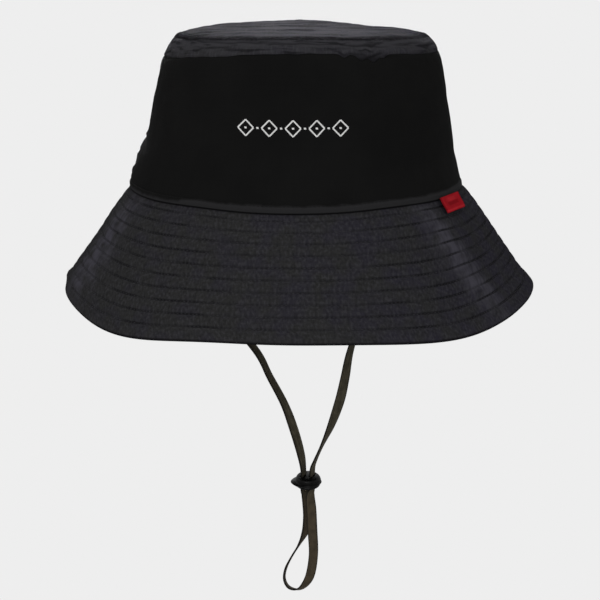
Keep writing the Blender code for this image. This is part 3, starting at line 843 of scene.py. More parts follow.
def upOrDown(along, wall, slope):  # below nought the cloth stands inside the crown, above it lies on the brim
    return np.where(along < 0, wall[0], slope[0]), np.where(along < 0, wall[1], slope[1])


def brimUpperShape(turn, along, inward):
    radius = brimStack() / 2  # of the fold at the brim's edge
    bend = hatForm["brimWidth"] - radius
    arc = np.clip((along - bend) / radius, 0, math.pi)
    home = np.maximum(along - bend - math.pi * radius, 0)
    down = np.where(along < bend, along, bend + radius * np.sin(arc)) - home
    deep = inward + radius * (1 - np.cos(arc))
    deep = deep + np.where((along >= 0) & (along < bend), quilting(turn, along), 0)
    wall = wallPoint(np.maximum(-along, 0), hatForm["crownPly"] + hatForm["gap"])
    return upOrDown(along, wall, brimPoint(np.maximum(down, 0), deep))


def brimUnderShape(turn, along, inward):
    form, down = hatForm, np.maximum(along, 0)
    top = brimForm["quiltDepth"] + form["brimPly"] + form["interlining"] + 2 * form["gap"]
    slope = brimPoint(down, top - 0.6 * quilting(turn + 3, down) * smooth(along / 0.004))
    wall = wallPoint(np.maximum(-along, 0), form["crownPly"] + form["brimPly"] + 2 * form["gap"])
    return upOrDown(along, wall, slope)


def brimCoreShape(turn, along, inward):
    return brimPoint(along, inward)


def brimFoldHighlight(turn, along):
    # painted highlight along the brim's two folds, uneven along them
    right, left = ridgeShares(toDegrees(turn), np.clip(along / hatForm["brimWidth"], 0, 1))
    uneven = 0.72 + 0.6 * ripple(turn * 0.11, along, 25, 60, 160)
    return np.clip((1.25 * right + 1.2 * left) * uneven, 0, 1)


def brimStations():
    rows, radius = brimRows(), brimStack() / 2
    places = [-brimForm["allowance"], *brimForm["turnedUp"], 0.0004, 0.0022]
    for row in rows:
        places += [row + offset for offset in (*brimForm["rowOffsets"], (rows[1] - rows[0]) / 2)]
    bend, arc = hatForm["brimWidth"] - radius, math.pi * radius
    places += list(bend + arc * np.linspace(0, 1, 9))
    places += [bend + arc + step for step in (0.0015, brimForm["facing"])]
    return sorted(places)


def buildBrim(cloth, felt, darkThread):
    form, ply, gap, core = brimForm, hatForm["brimPly"], hatForm["gap"], hatForm["interlining"]
    rows, radius = brimRows(), brimStack() / 2
    slopeEnd = hatForm["brimWidth"] - radius - form["facing"] - gap
    under = [-form["allowance"], *form["turnedUp"], 0.0014]
    for row in rows[rows < slopeEnd - 0.001]:
        under += [row + offset for offset in form["underOffsets"]]
    under = [place for place in under if place < slopeEnd - 0.0003] + [slopeEnd]
    coreTop = form["quiltDepth"] + ply + gap
    coreRun = np.linspace(coreTop + core + 2 * gap, hatForm["brimWidth"] - radius - 0.0004, 24)
    for side, node, middle in halves:
        addPly("brimUpper" + side, "brim_upper_" + node, cloth, "charcoal_cloth", ply, brimStations(),
               brimUpperShape, brimCloth, middle, form["steps"], brimFoldHighlight)
        addPly("brimUnder" + side, "brim_under_" + node, cloth, "charcoal_cloth", ply, under,
               brimUnderShape, brimCloth, middle, form["underSteps"])
        addPly("brimInterlining" + side, "brim_interlining_" + node, felt, "interlining_felt", core - 0.0002,
               [(down, coreTop + 0.0001) for down in coreRun], brimCoreShape, brimCloth, middle,
               form["coreSteps"], slit=form["coreSlit"])
        sewn = {"Top": [], "Under": []}
        for row in rows:
            turns = stitchTurns(float(brimPoint(row, 0)[0]), middle)
            faces = {"Top": lambda turn, lift: brimPoint(row, quilting(turn, row) + form["topThread"] - lift),
                     "Under": lambda turn, lift: brimPoint(row, brimStack() - form["underThread"] + lift)}
            for face, shapeAt in faces.items():
                sewn[face].append(sewRow(shapeAt, turns))
        for face, stitches in sewn.items():
            addThread("quiltStitches" + face + side, stitches, darkThread)


crownForm = {  # a flat tip, a band under it, and the panels
    "bandEdge": 0.0767, "bandFront": 0.0755, "bandLeft": 0.0708, "bandRight": 0.0735, "bandBack": 0.0740,
    "crumples": ((16.5, 1.7, 0.0016), (23.4, 2.3, 0.0024), (28.8, 2.6, 0.0033), (33.5, 1.8, 0.0013)),
    "bandAllowance": 0.006, "bandLap": 0.0004,  # by which the band reaches past the panel's edge
    "hemRow": 0.0035, "hemGroove": 0.0003, "pleats": 0.00034, "seamPinch": 0.0005,
    "tipHeight": 0.084, "tipRoll": 0.002, "tipFlat": 0.75, "tipFolds": 0.00034,
    "tipRow": 0.962, "bandRow": 0.0007,
    "steps": 240, "tipSteps": 360, "bandSteps": 26, "fineSteps": 26, "fineStep": 0.0006,
    "hemStations": (28, 21, 15, 10, 6, 3, 0, -3, -6, -10, -15, -22, -29, -35),  # tenths of a millimetre
}

crownPleats = (  # creases along the band: middle and half-length in degrees, height, rise per degree, depth
    (-56, 22, 0.0806, -0.00004, 0.0006), (-28, 14, 0.0799, 0.00002, 0.0005),
    (-3, 20, 0.0796, -0.00002, 0.0005), (24, 16, 0.0786, -0.00005, 0.0006),
    (12, 10, 0.0772, 0.00003, 0.0004), (-40, 16, 0.0775, 0.00002, 0.0004),
    (50, 12, 0.0790, 0.00004, 0.0005), (70, 14, 0.0776, -0.00003, 0.0004),
    (-75, 12, 0.0782, 0.00005, 0.0004), (30, 5, 0.0748, 0.00018, 0.0007), (38, 5, 0.0738, -0.00016, 0.0007),
    (22, 5, 0.0752, -0.00015, 0.0005), (150, 30, 0.0790, 0.00002, 0.0005),
    (-140, 26, 0.0784, -0.00002, 0.0005), (178, 18, 0.0770, 0, 0.0004),
)


def bandBottom(turn):
    form, side = crownForm, np.sin(turn)
    ends = np.where(side > 0, form["bandRight"], form["bandLeft"])
    middle = np.where(np.cos(turn) > 0, form["bandFront"], form["bandBack"])
    level = middle + (ends - middle) * np.abs(side) ** 2.2
    for place, width, depth in form["crumples"]:
        level = level - depth * bump(toDegrees(turn), place, width)
    return level + 0.00025 * ripple(turn * 0.075, 0 * turn, 31, 20, 90)


def bandHeight(turn, along):
    # stations between the band's edge and its seam, spread over the band's own height at each place
    edge, seam, bottom = hatForm["bandBottom"], hatForm["tipSeam"], bandBottom(turn) + crownForm["bandLap"]
    return bottom, bottom + (along - edge) / (seam - edge) * (seam - bottom)


def pleats(turn, height):
    degrees, total = toDegrees(turn), 0
    for middle, half, level, rise, depth in crownPleats:
        away = (degrees - middle + 180) % 360 - 180
        line = level + rise * away + 0.00022 * np.sin(away * 0.5)
        crease = bump(height, line, 0.00048) - 0.35 * bump(height, line + 0.0011, 0.0008)
        total = total + depth * crease * np.clip(1 - (away / half) ** 2, 0, 1)
    return total


def bandMark(turn, along):
    # painted shade in the band's pleats, and darker low on the band where it hangs lowest, near 25 degrees
    form, height = crownForm, bandHeight(turn, along)[1]
    low = smooth((form["bandFront"] + form["bandLap"] - height) / 0.0030)
    hanging = low * bump(np.degrees(turn), 25, 12)
    return np.clip(pleats(turn, height) / 0.0005, 0, 1) + 1.45 * hanging


def panelShape(turn, along, inward):
    form, edge = crownForm, crownForm["bandEdge"]
    height = along + (bandBottom(turn) - edge) * smooth((along - 0.040) / (edge - 0.040))
    groove = form["hemGroove"] * bump(along, form["hemRow"], 0.0007) - 0.0002 * bump(along, 0.0021, 0.0012)
    fromSeam = np.abs(np.abs((turn + math.pi) % math.tau - math.pi) - math.pi / 2) * 0.09
    pinch = form["seamPinch"] * np.exp(-fromSeam / 0.0014)
    crease = pleats(turn, height) + 0.00012 * ripple(turn * 0.085, along, 41, 50, 140)
    turnIn = 0.0003 * smooth((along - edge + 0.0009) / 0.0009)
    return wallPoint(height, inward + groove + pinch + crease + turnIn)


def bandShape(turn, along, inward):
    edge, seam = hatForm["bandBottom"], hatForm["tipSeam"]
    bottom, height = bandHeight(turn, along)
    seen = along > edge - 1e-6
    height = np.where(seen, height, bottom + along - edge)
    swell = -0.0003 * np.sin(math.pi * np.clip((height - bottom) / (seam - bottom), 0, 1)) ** 0.7
    crease = pleats(turn, height) + crownForm["pleats"] * ripple(turn * 0.04, height, 43, 90, 300, 9) * 0.5
    return wallPoint(height, inward + np.where(seen, swell + crease, 0))


def flatThenDown(along, flat, wallTop, inward):
    # a share of the tip's radius up to 1, and past it hundredths down the wall
    wall = wallPoint(wallTop - np.maximum(along - 1, 0) * 0.01, inward)
    return np.where(along <= 1, flat[0], wall[0]), np.where(along <= 1, flat[1], wall[1])


def tipShape(turn, along, inward):
    form, behind = crownForm, hatForm["crownPly"] + hatForm["gap"]
    share = np.clip(along, 0, 1)
    radius = wallPoint(hatForm["tipSeam"], behind)[0] * share
    drop = form["tipRoll"] * np.clip((share - form["tipFlat"]) / (1 - form["tipFlat"]), 0, 1) ** 2.4
    x, y = radius * np.sin(turn), -radius * np.cos(turn)
    broad, fine = ripple(x * 0.16, y, 51, 45, 150, 9), ripple(x * 0.5, y, 53, 90, 240, 7)
    folds = form["tipFolds"] * (broad + 0.5 * fine)
    stitched = -0.00035 * bump(share, form["tipRow"], 0.008)
    height = form["tipHeight"] - drop + (folds + stitched) * smooth((1 - share) / 0.06)
    return flatThenDown(along, (radius, height), hatForm["tipSeam"], behind)


def buildCrown(tipCloth, bandCloth, panelCloth, charcoalThread, blackThread):
    form, ply, behind = crownForm, hatForm["crownPly"], hatForm["crownPly"] + hatForm["gap"]
    edge, seam, near = hatForm["bandBottom"], hatForm["tipSeam"], 0.00003  # near is how close thread lies
    tip = [*np.linspace(0, 0.9, 46), *np.linspace(0.912, 1, 14), 1.06, 1.14, 1.24, 1.32]
    addPly("crownTip", "crown_tip", tipCloth, "charcoal_cloth", ply, tip,
           tipShape, flatCloth, None, form["tipSteps"])
    count = form["bandSteps"]
    band = [(edge + (seam - edge) * k / count, 0) for k in range(count, -1, -1)]
    band += [(edge - below, behind) for below in (0.0004, 0.002, form["bandAllowance"])]
    panel = [form["bandEdge"] - k * form["fineStep"] for k in range(form["fineSteps"])]
    panel += list(np.linspace(form["bandEdge"] - 0.0165, 0.0068, 44))
    panel += [form["hemRow"] + step / 10000 for step in form["hemStations"]]
    for side, node, middle in halves:
        addPly("upperBand" + side, "upper_band_" + node, bandCloth, "charcoal_cloth", ply, band,
               bandShape, wallCloth, middle, form["steps"], bandMark)
        addPly("crownPanel" + side, "crown_panel_" + node, panelCloth, "black_cloth", ply, panel,
               panelShape, wallCloth, middle, form["steps"])
        hem = sewRow(lambda turn, lift: panelShape(turn, form["hemRow"], -lift - near),
                     stitchTurns(hatForm["halfWidth"], middle))
        addThread("hemStitches" + side, [hem], blackThread)
        row = sewRow(lambda turn, lift: bandShape(turn, seam - form["bandRow"], -lift - near),
                     stitchTurns(0.071, middle, stitchForm["longPitch"]), stitchForm["longLength"])
        addThread("bandStitches" + side, [row], charcoalThread)

    def onTip(turn, lift):
        radius, height = tipShape(turn, form["tipRow"], 0)
        return radius, height + lift + 0.00005

    row = sewRow(onTip, stitchTurns(0.068, None, stitchForm["longPitch"]), stitchForm["longLength"])
    addThread("tipStitches", [row], charcoalThread)


insideForm = {  # lining, stay tape and sweatband
    "tape": 0.0004, "tapeHeight": 0.0065, "band": 0.0012, "bandHeight": 0.032, "bandDrop": 0.0012,
    "bandRows": (0.0028, 0.0026), "gathers": 0.0003, "pitch": 0.0032,  # rows from the band's top and bottom
    "liningSteps": 160, "tipSteps": 180, "steps": 240,
}


def buildInside(liningCloth, bandCloth, tapeCloth, darkThread):
    form, gap, crownPly, lining = insideForm, hatForm["gap"], hatForm["crownPly"], hatForm["lining"]
    liningIn = 2 * crownPly + 2 * gap
    tapeIn = crownPly + 2 * hatForm["brimPly"] + 3 * gap
    bandIn = tapeIn + form["tape"] + gap
    underTip = crownForm["tipHeight"] - crownPly - gap
    sideTop = underTip - liningIn
    top, bottom = form["bandHeight"] - form["bandDrop"], -form["bandDrop"]
    rows = (top - form["bandRows"][0], bottom + form["bandRows"][1])

    def liningTip(turn, along, inward):
        share = np.clip(along, 0, 1)
        radius = share * (wallPoint(hatForm["tipSeam"], crownPly + gap)[0] - 2 * crownForm["tipRoll"])
        height = underTip - 0.0004 * smooth((share - 0.75) / 0.2) - 0.0002
        return flatThenDown(along, (radius, height), sideTop, liningIn + lining + gap)

    def liningWall(turn, along, inward):
        loose = form["gathers"] * (1 + ripple(turn * 0.085, along, 61, 30, 90))
        loose = loose * smooth((0.075 - along) / 0.01)
        return wallPoint(along, liningIn + loose * smooth((along - 0.012) / 0.008))

    def tapeWall(turn, along, inward):
        return wallPoint(along, tapeIn)

    def bandWall(turn, along, inward):
        return wallPoint(along, bandIn - 0.0002 + 0.0003 * sum(bump(along, row, 0.0007) for row in rows))

    addPly("tipLining", "tip_lining", liningCloth, "lining_cloth", lining,
           [*np.linspace(0, 1, 24), 1.05, 1.2, 1.6], liningTip, flatCloth, None, form["tipSteps"])
    wall = np.linspace(sideTop, brimForm["allowance"] + gap + hatForm["brimPly"], 46)
    for side, node, middle in halves:
        addPly("sideLining" + side, "side_lining_" + node, liningCloth, "lining_cloth", lining, wall,
               liningWall, wallCloth, middle, form["liningSteps"])
    addPly("seamStayTape", "seam_stay_tape", tapeCloth, "stay_tape", form["tape"],
           np.linspace(form["tapeHeight"], 0, 8), tapeWall, wallCloth, None, form["steps"])
    addPly("sweatband", "sweatband", bandCloth, "sweatband_cloth", form["band"], np.linspace(top, bottom, 40),
           bandWall, wallCloth, None, form["steps"])
    sewn = [sewRow(lambda turn, lift: wallPoint(level, bandIn + form["band"] + 0.00012 + lift),
                   stitchTurns(0.085, None, form["pitch"])) for level in rows]
    addThread("sweatbandStitches", sewn, darkThread)


ornamentForm = {  # an embroidered row of open lozenges with dots in and between them
    "centre": (-0.00275, 0.0411), "lozenges": 5, "pitch": 0.0119, "halfWide": 0.0039, "halfTall": 0.0040,
    "strand": 0.00030, "stroke": 0.0008925, "thick": 0.00042, "dot": 0.0011, "tuck": 0.00012, "overlap": 1.24,
}


def panelPoint(points, lift):
    # points on the front panel from their sideways place and height
    x, height = points.T
    turn = np.arcsin(np.clip((x - sway(height)) / wallRadius(height), -1, 1))
    return drape(turnedPoints(turn, *panelShape(turn, height, -lift)))


def satinStroke(begin, end, width):
    # short threads laid across the line from begin to end, both (x, height) on the front panel
    form, begin, end = ornamentForm, np.array(begin), np.array(end)
    length = np.linalg.norm(end - begin)
    forward = (end - begin) / length
    across = np.array((-forward[1], forward[0]))
    order = np.arange(int(length / form["strand"]) + 1)
    places = begin + forward * length * ((order + 0.5) / len(order))[:, None]
    reach = across * (width / 2 * (1 + 0.08 * np.sin(order * 2.3)))[:, None]
    lean = forward * form["tuck"]
    chord = panelPoint(places + reach - lean, 0) - panelPoint(places - reach + lean, 0)
    middle, above = panelPoint(places, 0.0001), panelPoint(places, 0.0007)
    return threadFrames(middle, chord, above - middle, np.linalg.norm(chord, axis=1),
                        form["strand"] * form["overlap"], form["thick"])


def buildOrnament(whiteThread):
    form, sewn = ornamentForm, []
    wide, tall, half, z = form["halfWide"], form["halfTall"], form["dot"] / 2, form["centre"][1]

    def sewDot(x):
        sewn.append(satinStroke((x - half, z), (x + half, z), form["dot"]))

    for k in range(form["lozenges"]):
        x = form["centre"][0] + (k - (form["lozenges"] - 1) / 2) * form["pitch"]
        corners = [(x - wide, z), (x, z + tall), (x + wide, z), (x, z - tall)]
        for a, b in zip(corners, corners[1:] + corners[:1]):
            sewn.append(satinStroke(a, b, form["stroke"]))
        sewDot(x)
        if k:
            sewDot(x - form["pitch"] / 2)
    addThread("embroideredOrnament", sewn, whiteThread)


tagForm = {
    "width": 0.0235, "drop": 0.0102, "thickness": 0.001, "wall": 0.0003, "angle": math.radians(60),
    "swing": math.radians(25), "start": 0.0002, "shift": 0.0010, "hinge": 0.0034, "columns": 28,
    "bow": 0.00035, "curl": 0.0001,  # how far its face stands off, and its lower edge waves
    "back": 0.0002, "leafSteps": 14, "foldSteps": 8,
    # bright colours the painted highlights
    "red": (0.360, 0.0130, 0.0200), "deep": (0.215, 0.0080, 0.0120), "bright": (0.48, 0.026, 0.034),
    "threads": 2600, "barAt": 0.0052, "shineAt": 0.0026, "foldAt": 0.0091,
}


def buildTag(cloth):
    form, oval, upright = tagForm, hatForm["oval"], Vector((0, 0, 1))
    radius, height = (float(value) for value in brimPoint(form["start"], -hatForm["gap"]))
    s, c = math.sin(form["angle"]), math.cos(form["angle"])
    across = Vector((c, s * oval, 0)).normalized()
    outward = Vector((across.y, -across.x, 0))
    down = outward * math.cos(hatForm["slope"]) - upright * math.sin(hatForm["slope"])
    down = (down * math.cos(form["swing"]) - across * math.sin(form["swing"])).normalized()  # a little askew
    away = down.cross(across)
    if away.dot(outward) < 0:
        away = -away
    seat = Vector((radius * s, -radius * c * oval, height))
    seat += (across + outward + upright) * form["shift"]  # its sewn edge laps over the hem
    # one strip folded at its lower edge: down the face, round the fold and back up behind
    leaf, back, steps, bends = form["drop"], form["back"], form["leafSteps"], form["foldSteps"]
    fold = (form["thickness"] - back) / 2
    lane = [(leaf * k / steps, form["thickness"]) for k in range(steps)]
    for k in range(bends + 1):
        bend = math.pi * k / bends
        lane.append((leaf - fold + fold * math.sin(bend), fold * (1 + math.cos(bend)) + back))
    lane += [(leaf * k / steps, back) for k in reversed(range(steps))]
    run, rows = runAlong(np.array(lane)), len(lane)
    shape, measure = clothGrid(form["columns"], rows - 1)
    for vert in shape.verts:
        i, j = (vert.co.x + 1) / 2, round((vert.co.y + 1) / 2 * (rows - 1))
        hang, lift = lane[j]
        bow = form["bow"] * math.sin(math.pi * i) * hang / leaf
        bow += form["curl"] * math.sin(9 * i + 3) * (hang / leaf) ** 2
        at = seat + across * (i - 0.5) * form["width"] + down * hang + away * (lift + bow)
        lay(vert, measure, (i * form["width"], run[j]), at)
    for vert, place in zip(list(shape.verts), drape([vert.co for vert in shape.verts])):
        vert.co = place
    bmesh.ops.recalc_face_normals(shape, faces=shape.faces)
    bmesh.ops.solidify(shape, geom=shape.faces[:], thickness=form["wall"])
    tag = addPiece("wovenTag", meshOf("wovenTag", shape), cloth, None, "woven_tag")
    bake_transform(tag)  # its transform goes into its mesh


def tagMaterial():
    form = tagForm
    material, tree, shader = startMaterial("redLabel", 0.8, 0)
    cloth = clothOf(tree)
    across, run = split(cloth)[:2]
    colour = mixColour(times(effect("mottle", placeOf(tree), 0.008)[0], 0.6), form["red"], form["deep"])
    edge = calc("PINGPONG", across, form["width"] / 2)
    bar = times(ramp(distance(run, form["barAt"]), 0.0008, 0.0014, 0.8, 0), ramp(edge, 0.0048, 0.0062))
    # a painted highlight across the upper part of the face
    shine = times(ramp(distance(run, form["shineAt"]), 0.0004, 0.0020, 0.55, 0), ramp(edge, 0.0030, 0.0090))
    for share, tone in (
        (ramp(edge, 0.0003, 0.0011, 0.8, 0), "deep"),
        # a painted highlight along the fold at the lower edge
        (ramp(distance(run, form["foldAt"]), 0.0003, 0.0008, 0.6, 0), "bright"),
        (bar, "deep"),  # a plain bar where a label would carry its print
        (shine, "bright"),
    ):
        colour = mixColour(share, colour, form[tone])
    finishMaterial(shader, colour, bumpNormal(effect("weave", cloth, form["threads"])[0], 0.00008, 0.7))
    return material


tabForm = {  # the tabs that hold the strap's ends, each tacked with two bars of close stitches
    "width": 0.010, "length": 0.0115, "thickness": 0.0011, "outer": 0.0891, "top": -0.0023602,
    "corner": 0.00024, "grid": (14, 16),
    "tacks": 22, "tackLevels": (0.0016, 0.0105), "tackSize": (0.0015, 0.00042, 0.00028),
    "cup": 0.00012, "wave": 0.0001,  # how far its faces aren't flat
}


def buildTabs(cloth, oliveThread):
    form, count = tabForm, tabForm["tacks"]
    for side, sign in (("Left", -1), ("Right", 1)):
        shape, measure = clothGrid(*form["grid"], size=0.5)
        grown = bmesh.ops.extrude_face_region(shape, geom=shape.faces[:])
        top = [item for item in grown["geom"] if isinstance(item, bmesh.types.BMVert)]
        bmesh.ops.translate(shape, vec=(0, 0, 1), verts=top)
        for vert in shape.verts:
            y, z = vert.co.x * form["width"], form["top"] - form["length"] * (0.5 + vert.co.y)
            through = vert.co.z
            tuck = form["cup"] * math.cos(y / form["width"] * math.tau) + form["wave"] * math.sin(z * 900)
            x = form["outer"] - form["thickness"] * (1 - through) + tuck * (0.5 - through)
            lay(vert, measure, (y, z), drape([(sign * x, y, z)])[0])
        bmesh.ops.recalc_face_normals(shape, faces=shape.faces)
        rim = [edge for edge in shape.edges if edge.calc_face_angle(0) > 1]
        bmesh.ops.bevel(shape, geom=rim, offset=form["corner"], segments=2, profile=0.5, affect="EDGES",
                        material=-1)
        name = "strapTab" + side
        addPiece(name, meshOf(name, shape), cloth, "hat", "strap_tab_" + side.lower())
        ys = (np.arange(count) / (count - 1) - 0.5) * form["width"] * 0.8
        inner = np.full(count, sign * (form["outer"] - form["thickness"] - 0.00008))
        along, above = np.tile((0, 0.1, 1), (count, 1)), np.tile((-sign, 0, 0), (count, 1))
        sewn = []
        for level in form["tackLevels"]:
            places = drape(np.stack((inner, ys, np.full(count, form["top"] - level)), axis=1))
            sewn.append(threadFrames(places, along, above, *form["tackSize"]))
        addThread("tabStitches" + side, sewn, oliveThread)


sliderForm = {
    "centre": (0.0053, 0, -0.1775), "domeRadius": 0.0071, "domeTop": 0.0046, "domeHeight": 0.0037,
    "boss": 0.0031, "bossRadius": 0.0056, "lip": 0.0015, "lipLeft": 0.0030, "lipThickness": 0.0011,
    "bulge": 0.0007, "tilt": math.radians(9), "steps": 72, "softened": 0.00018,
    "slotSpacing": 0.0053, "slotWide": 0.0020, "slotDeep": 0.0067, "slotCorner": 0.0008,
    "slotTurn": math.radians(30), "roughness": 0.34,
    "colour": (0.0015, 0.0015, 0.0015), "worn": (0.0045, 0.0045, 0.0045),
}


def sliderProfile():
    # (radius, height, share of the lip) from the top of the dome to the foot of the boss
    form = sliderForm
    ring, rim, reach = form["domeRadius"], form["lipThickness"], form["lip"]
    points = [(0, form["domeHeight"], 0)]
    for k in range(1, 15):
        t = math.pi / 2 * k / 15
        out = form["domeTop"] * k / 4 if k < 4 else form["domeTop"] + (ring - form["domeTop"]) * math.sin(t)
        points.append((out, form["domeHeight"] * math.cos(t) ** 0.6, 0))
    points += [(ring + 0.0001, 0.0006, 0.2), (ring + 0.0004, 0.0001, 0.7), (ring + reach * 0.7, -0.0001, 1),
               (ring + reach, -rim / 2, 1), (ring + reach * 0.7, -rim + 0.0001, 1),
               (ring + 0.0001, -rim - 0.0002, 0.7)]
    for k in range(1, 6):
        t = math.pi / 2 * k / 5
        points.append((form["bossRadius"] + (ring - form["bossRadius"]) * math.cos(t),
                       -rim - 0.0002 - (form["boss"] - rim - 0.0002) * math.sin(t), 0.3 * (1 - k / 5)))
    return points + [(share * form["bossRadius"], -form["boss"] - 0.0001, 0) for share in (0.5, 0)]


def sliderSlot(sign):
    form, shape = sliderForm, bmesh.new()
    bmesh.ops.create_cube(shape, size=1)
    bmesh.ops.scale(shape, vec=(form["slotWide"], form["slotDeep"], 0.03), verts=shape.verts)
    upright = [edge for edge in shape.edges if abs(edge.verts[0].co.z - edge.verts[1].co.z) > 0.02]
    bmesh.ops.bevel(shape, geom=upright, offset=form["slotCorner"], segments=4, profile=0.5, affect="EDGES",
                    material=-1)
    for angle, axis in ((form["slotTurn"], "Z"), (form["tilt"], "X")):
        bmesh.ops.rotate(shape, cent=(0, 0, 0), matrix=Matrix.Rotation(-angle, 3, axis), verts=shape.verts)
    bmesh.ops.translate(shape, vec=(sign * form["slotSpacing"] / 2, 0, 0), verts=shape.verts)
    return addObject("slot", meshOf("slot", shape))


def buildSlider(plastic):
    form, (radii, heights, lips) = sliderForm, zip(*sliderProfile())
    profile = [(radius, 0, height) for radius, height in zip(radii, heights)]
    shape, lip = spinProfile(profile, ("lip", "float"), lips, math.tau, form["steps"])
    for vert in shape.verts:  # the lip runs out to a point on the left
        out, share = vert.co.xy.length, vert[lip]
        left = max(-vert.co.x, 0) / max(out, 1e-9)
        inset = 1 - share * (1 - smooth((left - 0.1) / 0.7)) * form["lip"] / max(out, form["lip"])
        right = max(vert.co.x, 0) / form["domeRadius"]
        bulge = form["bulge"] * right**2 * bump(vert.co.z, -0.0006, 0.0040)
        vert.co.x = vert.co.x * inset - form["lipLeft"] * 0.5 * share * left**5 + bulge
        vert.co.y *= inset
    bmesh.ops.recalc_face_normals(shape, faces=shape.faces)
    body = addObject("sliderBody", meshOf("sliderBody", shape))
    helpers = [body]
    for sign in (-1, 1):
        helpers.append(sliderSlot(sign))
        cut = body.modifiers.new("slot", "BOOLEAN")
        cut.operation, cut.object = "DIFFERENCE", helpers[-1]
    soften = body.modifiers.new("soften", "BEVEL")
    soften.width, soften.segments = form["softened"], 2
    soften.limit_method, soften.angle_limit = "ANGLE", math.radians(50)
    bpy.context.view_layer.update()
    mesh = bpy.data.meshes.new_from_object(body.evaluated_get(bpy.context.evaluated_depsgraph_get()))
    for helper in helpers:
        bpy.data.objects.remove(helper)
    mesh.transform(Matrix.Translation(Vector(form["centre"])) @ Matrix.Rotation(form["tilt"], 4, "X"))
    mesh.name = "strapSlider"
    smoothShaded(mesh)
    return addPiece("strapSlider", mesh, plastic, "strap_slider", "strap_slider")


def plasticMaterial():
    form = sliderForm
    material, tree, shader = startMaterial("blackPlastic", form["roughness"], 0.11)
    place = placeOf(tree)
    grain, wear = noise(place, 2600, 2), noise(place, 420, 3)
    colour = mixColour(ramp(wear, 0.5, 0.75), form["colour"], form["worn"])
    roughness = ramp(wear, 0.3, 0.7, form["roughness"] - 0.06, form["roughness"] + 0.14)
    finishMaterial(shader, colour, bumpNormal(grain, 0.00002, 0.4), roughness)
    return material


def buildStrap(webbing):
    form, middle = strapForm, sliderForm["centre"][0]
    line = smoothRoute(strapRoute(), form["samples"])
    past = line[:, 2] - form["cut"]
    crossings = [i for i in range(1, len(line)) if past[i - 1] * past[i] <= 0]
    first, second = crossings[0], crossings[-1]
    slider = buildSlider(plasticMaterial())
    for name, part in (("chinStrapLeft", line[:first + 1]), ("chinStrapLoop", line[first:second + 1]),
                       ("chinStrapRight", line[second:])):
        piece, path, length = strapStretch(name, part, webbing)
        if name == "chinStrapLoop":
            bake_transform(piece)
        else:
            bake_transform(piece)
        exitPoint = path[-1] if name == "chinStrapRight" else path[0]
        tuple(exitPoint)
        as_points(path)


webbing = strapMaterial()
buildStrap(webbing)
print("chin strap and slider made")

quiltedCloth = charcoalMaterial("charcoalCloth", quiltedLook)
tipCloth = charcoalMaterial("charcoalTipCloth", foldedLook, True)
topBandCloth = charcoalMaterial("charcoalBandCloth", foldedLook, False)
panelCloth = blackMaterial()
charcoalThread = threadMaterial("charcoalThread", (0.0100, 0.0098, 0.0110), (0.042, 0.041, 0.046))
blackThread = threadMaterial("blackThread", (0.0045, 0.0045, 0.0045), (0.007, 0.007, 0.007))
whiteThread = threadMaterial("whiteThread", (0.80, 0.80, 0.79), (0.90, 0.90, 0.89), 0.5, 0.1)
oliveThread = threadMaterial("oliveThread", (0.024, 0.019, 0.012), (0.045, 0.037, 0.024))
felt = plainMaterial("interliningFelt", (0.26, 0.26, 0.25), (0.34, 0.34, 0.33), 1300, 0.95)
liningCloth = plainMaterial("liningCloth", (0.0095, 0.0095, 0.011), (0.017, 0.017, 0.019), 2600, 0.6,
                            0.3, 0.1)
sweatbandCloth = plainMaterial("sweatbandCloth", (0.0075, 0.0075, 0.0075), (0.016, 0.016, 0.016), 1700, 0.95,
                               0.1, 0.05, 0.00016, True)
tapeCloth = plainMaterial("tapeCloth", (0.026, 0.026, 0.028), (0.040, 0.040, 0.042), 1500, 0.9)

buildBrim(quiltedCloth, felt, charcoalThread)
print("brim made")
buildCrown(tipCloth, topBandCloth, panelCloth, charcoalThread, blackThread)
print("crown made")
buildInside(liningCloth, sweatbandCloth, tapeCloth, blackThread)
print("inside made")
buildTag(tagMaterial())
buildTabs(webbing, oliveThread)
buildOrnament(whiteThread)
bpy.data.meshes.remove(thread)
print("label, tabs and embroidery made")

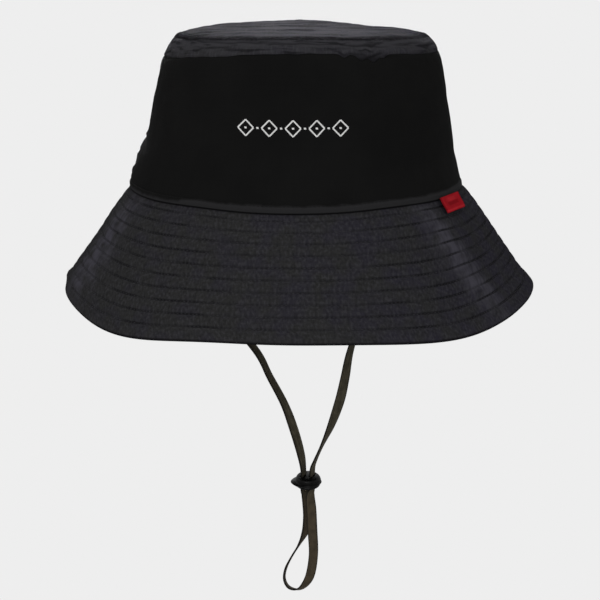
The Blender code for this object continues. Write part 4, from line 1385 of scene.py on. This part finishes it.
studio = {
    "pale": 0.855, "fill": 0.55, "paint": 0.55, "floorLevel": -0.62, "floorSize": 14,
    "lamps": (  # name, place, aim, width, height, power, spread in degrees
        ("frontSoft", (-0.25, -1.9, 0.75), (0, 0, 0), 1.6, 1.3, 14, 180),
        ("backSoft", (0, 1.6, 0.70), (0, 0, 0.04), 1.6, 0.6, 2.5, 180),
        ("leftSoft", (-1.25, 0.30, 0.40), (-0.10, -0.05, -0.03), 0.4, 1, 0.9, 180),
        ("tipBeam", (-0.05, 1.05, 0.66), (-0.004, 0, 0.084), 0.16, 0.12, 0.27, 8),
    ),
}


def emptyTree(block):
    block.use_nodes = True
    block.node_tree.nodes.clear()
    return block.node_tree


def buildWorld():
    scene.world = bpy.data.worlds.new("studio")
    tree = emptyTree(scene.world)
    rays = put(tree, "LightPath").outputs
    mirrored = calc("MAXIMUM", rays["Is Glossy Ray"], rays["Is Transmission Ray"])
    seen = calc("MAXIMUM", rays["Is Camera Ray"], mirrored)
    colour = mixColour(seen, (studio["fill"],) * 3, (studio["pale"],) * 3)
    background = put(tree, "Background", {"Color": colour, "Strength": 1})
    put(tree, "OutputWorld", {"Surface": background.outputs[0]})


def buildFloor():
    shape = bmesh.new()
    bmesh.ops.create_grid(shape, x_segments=1, y_segments=1, size=studio["floorSize"] / 2)
    bmesh.ops.translate(shape, vec=(0, 0, studio["floorLevel"]), verts=shape.verts)
    floor = addObject("floor", meshOf("floor", shape))
    material = bpy.data.materials.new("floorPaint")
    tree = emptyTree(material)
    paint = put(tree, "BsdfDiffuse", {"Color": (studio["paint"],) * 3 + (1,)})
    glow = put(tree, "Emission", {"Color": (studio["pale"],) * 3 + (1,), "Strength": 1})
    seen = put(tree, "LightPath").outputs["Is Camera Ray"]
    behind = put(tree, "NewGeometry").outputs["Backfacing"]
    lit = put(tree, "MixShader", {0: seen, 1: paint.outputs[0], 2: glow.outputs[0]})
    clear = put(tree, "BsdfTransparent")  # from below the floor isn't there
    shown = put(tree, "MixShader", {0: behind, 1: lit.outputs[0], 2: clear.outputs[0]})
    put(tree, "OutputMaterial", {"Surface": shown.outputs[0]})
    floor.data.materials.append(material)


def buildLamps():
    for name, place, aim, width, height, power, spread in studio["lamps"]:
        data = bpy.data.lights.new(name, "AREA")
        data.shape, data.size, data.size_y = "RECTANGLE", width, height
        data.energy, data.spread = power, math.radians(spread)
        lamp = addObject(name, data)
        aimAt(lamp, place, aim)
        lamp.visible_camera = False


buildWorld()
buildFloor()
buildLamps()
print("studio lit")
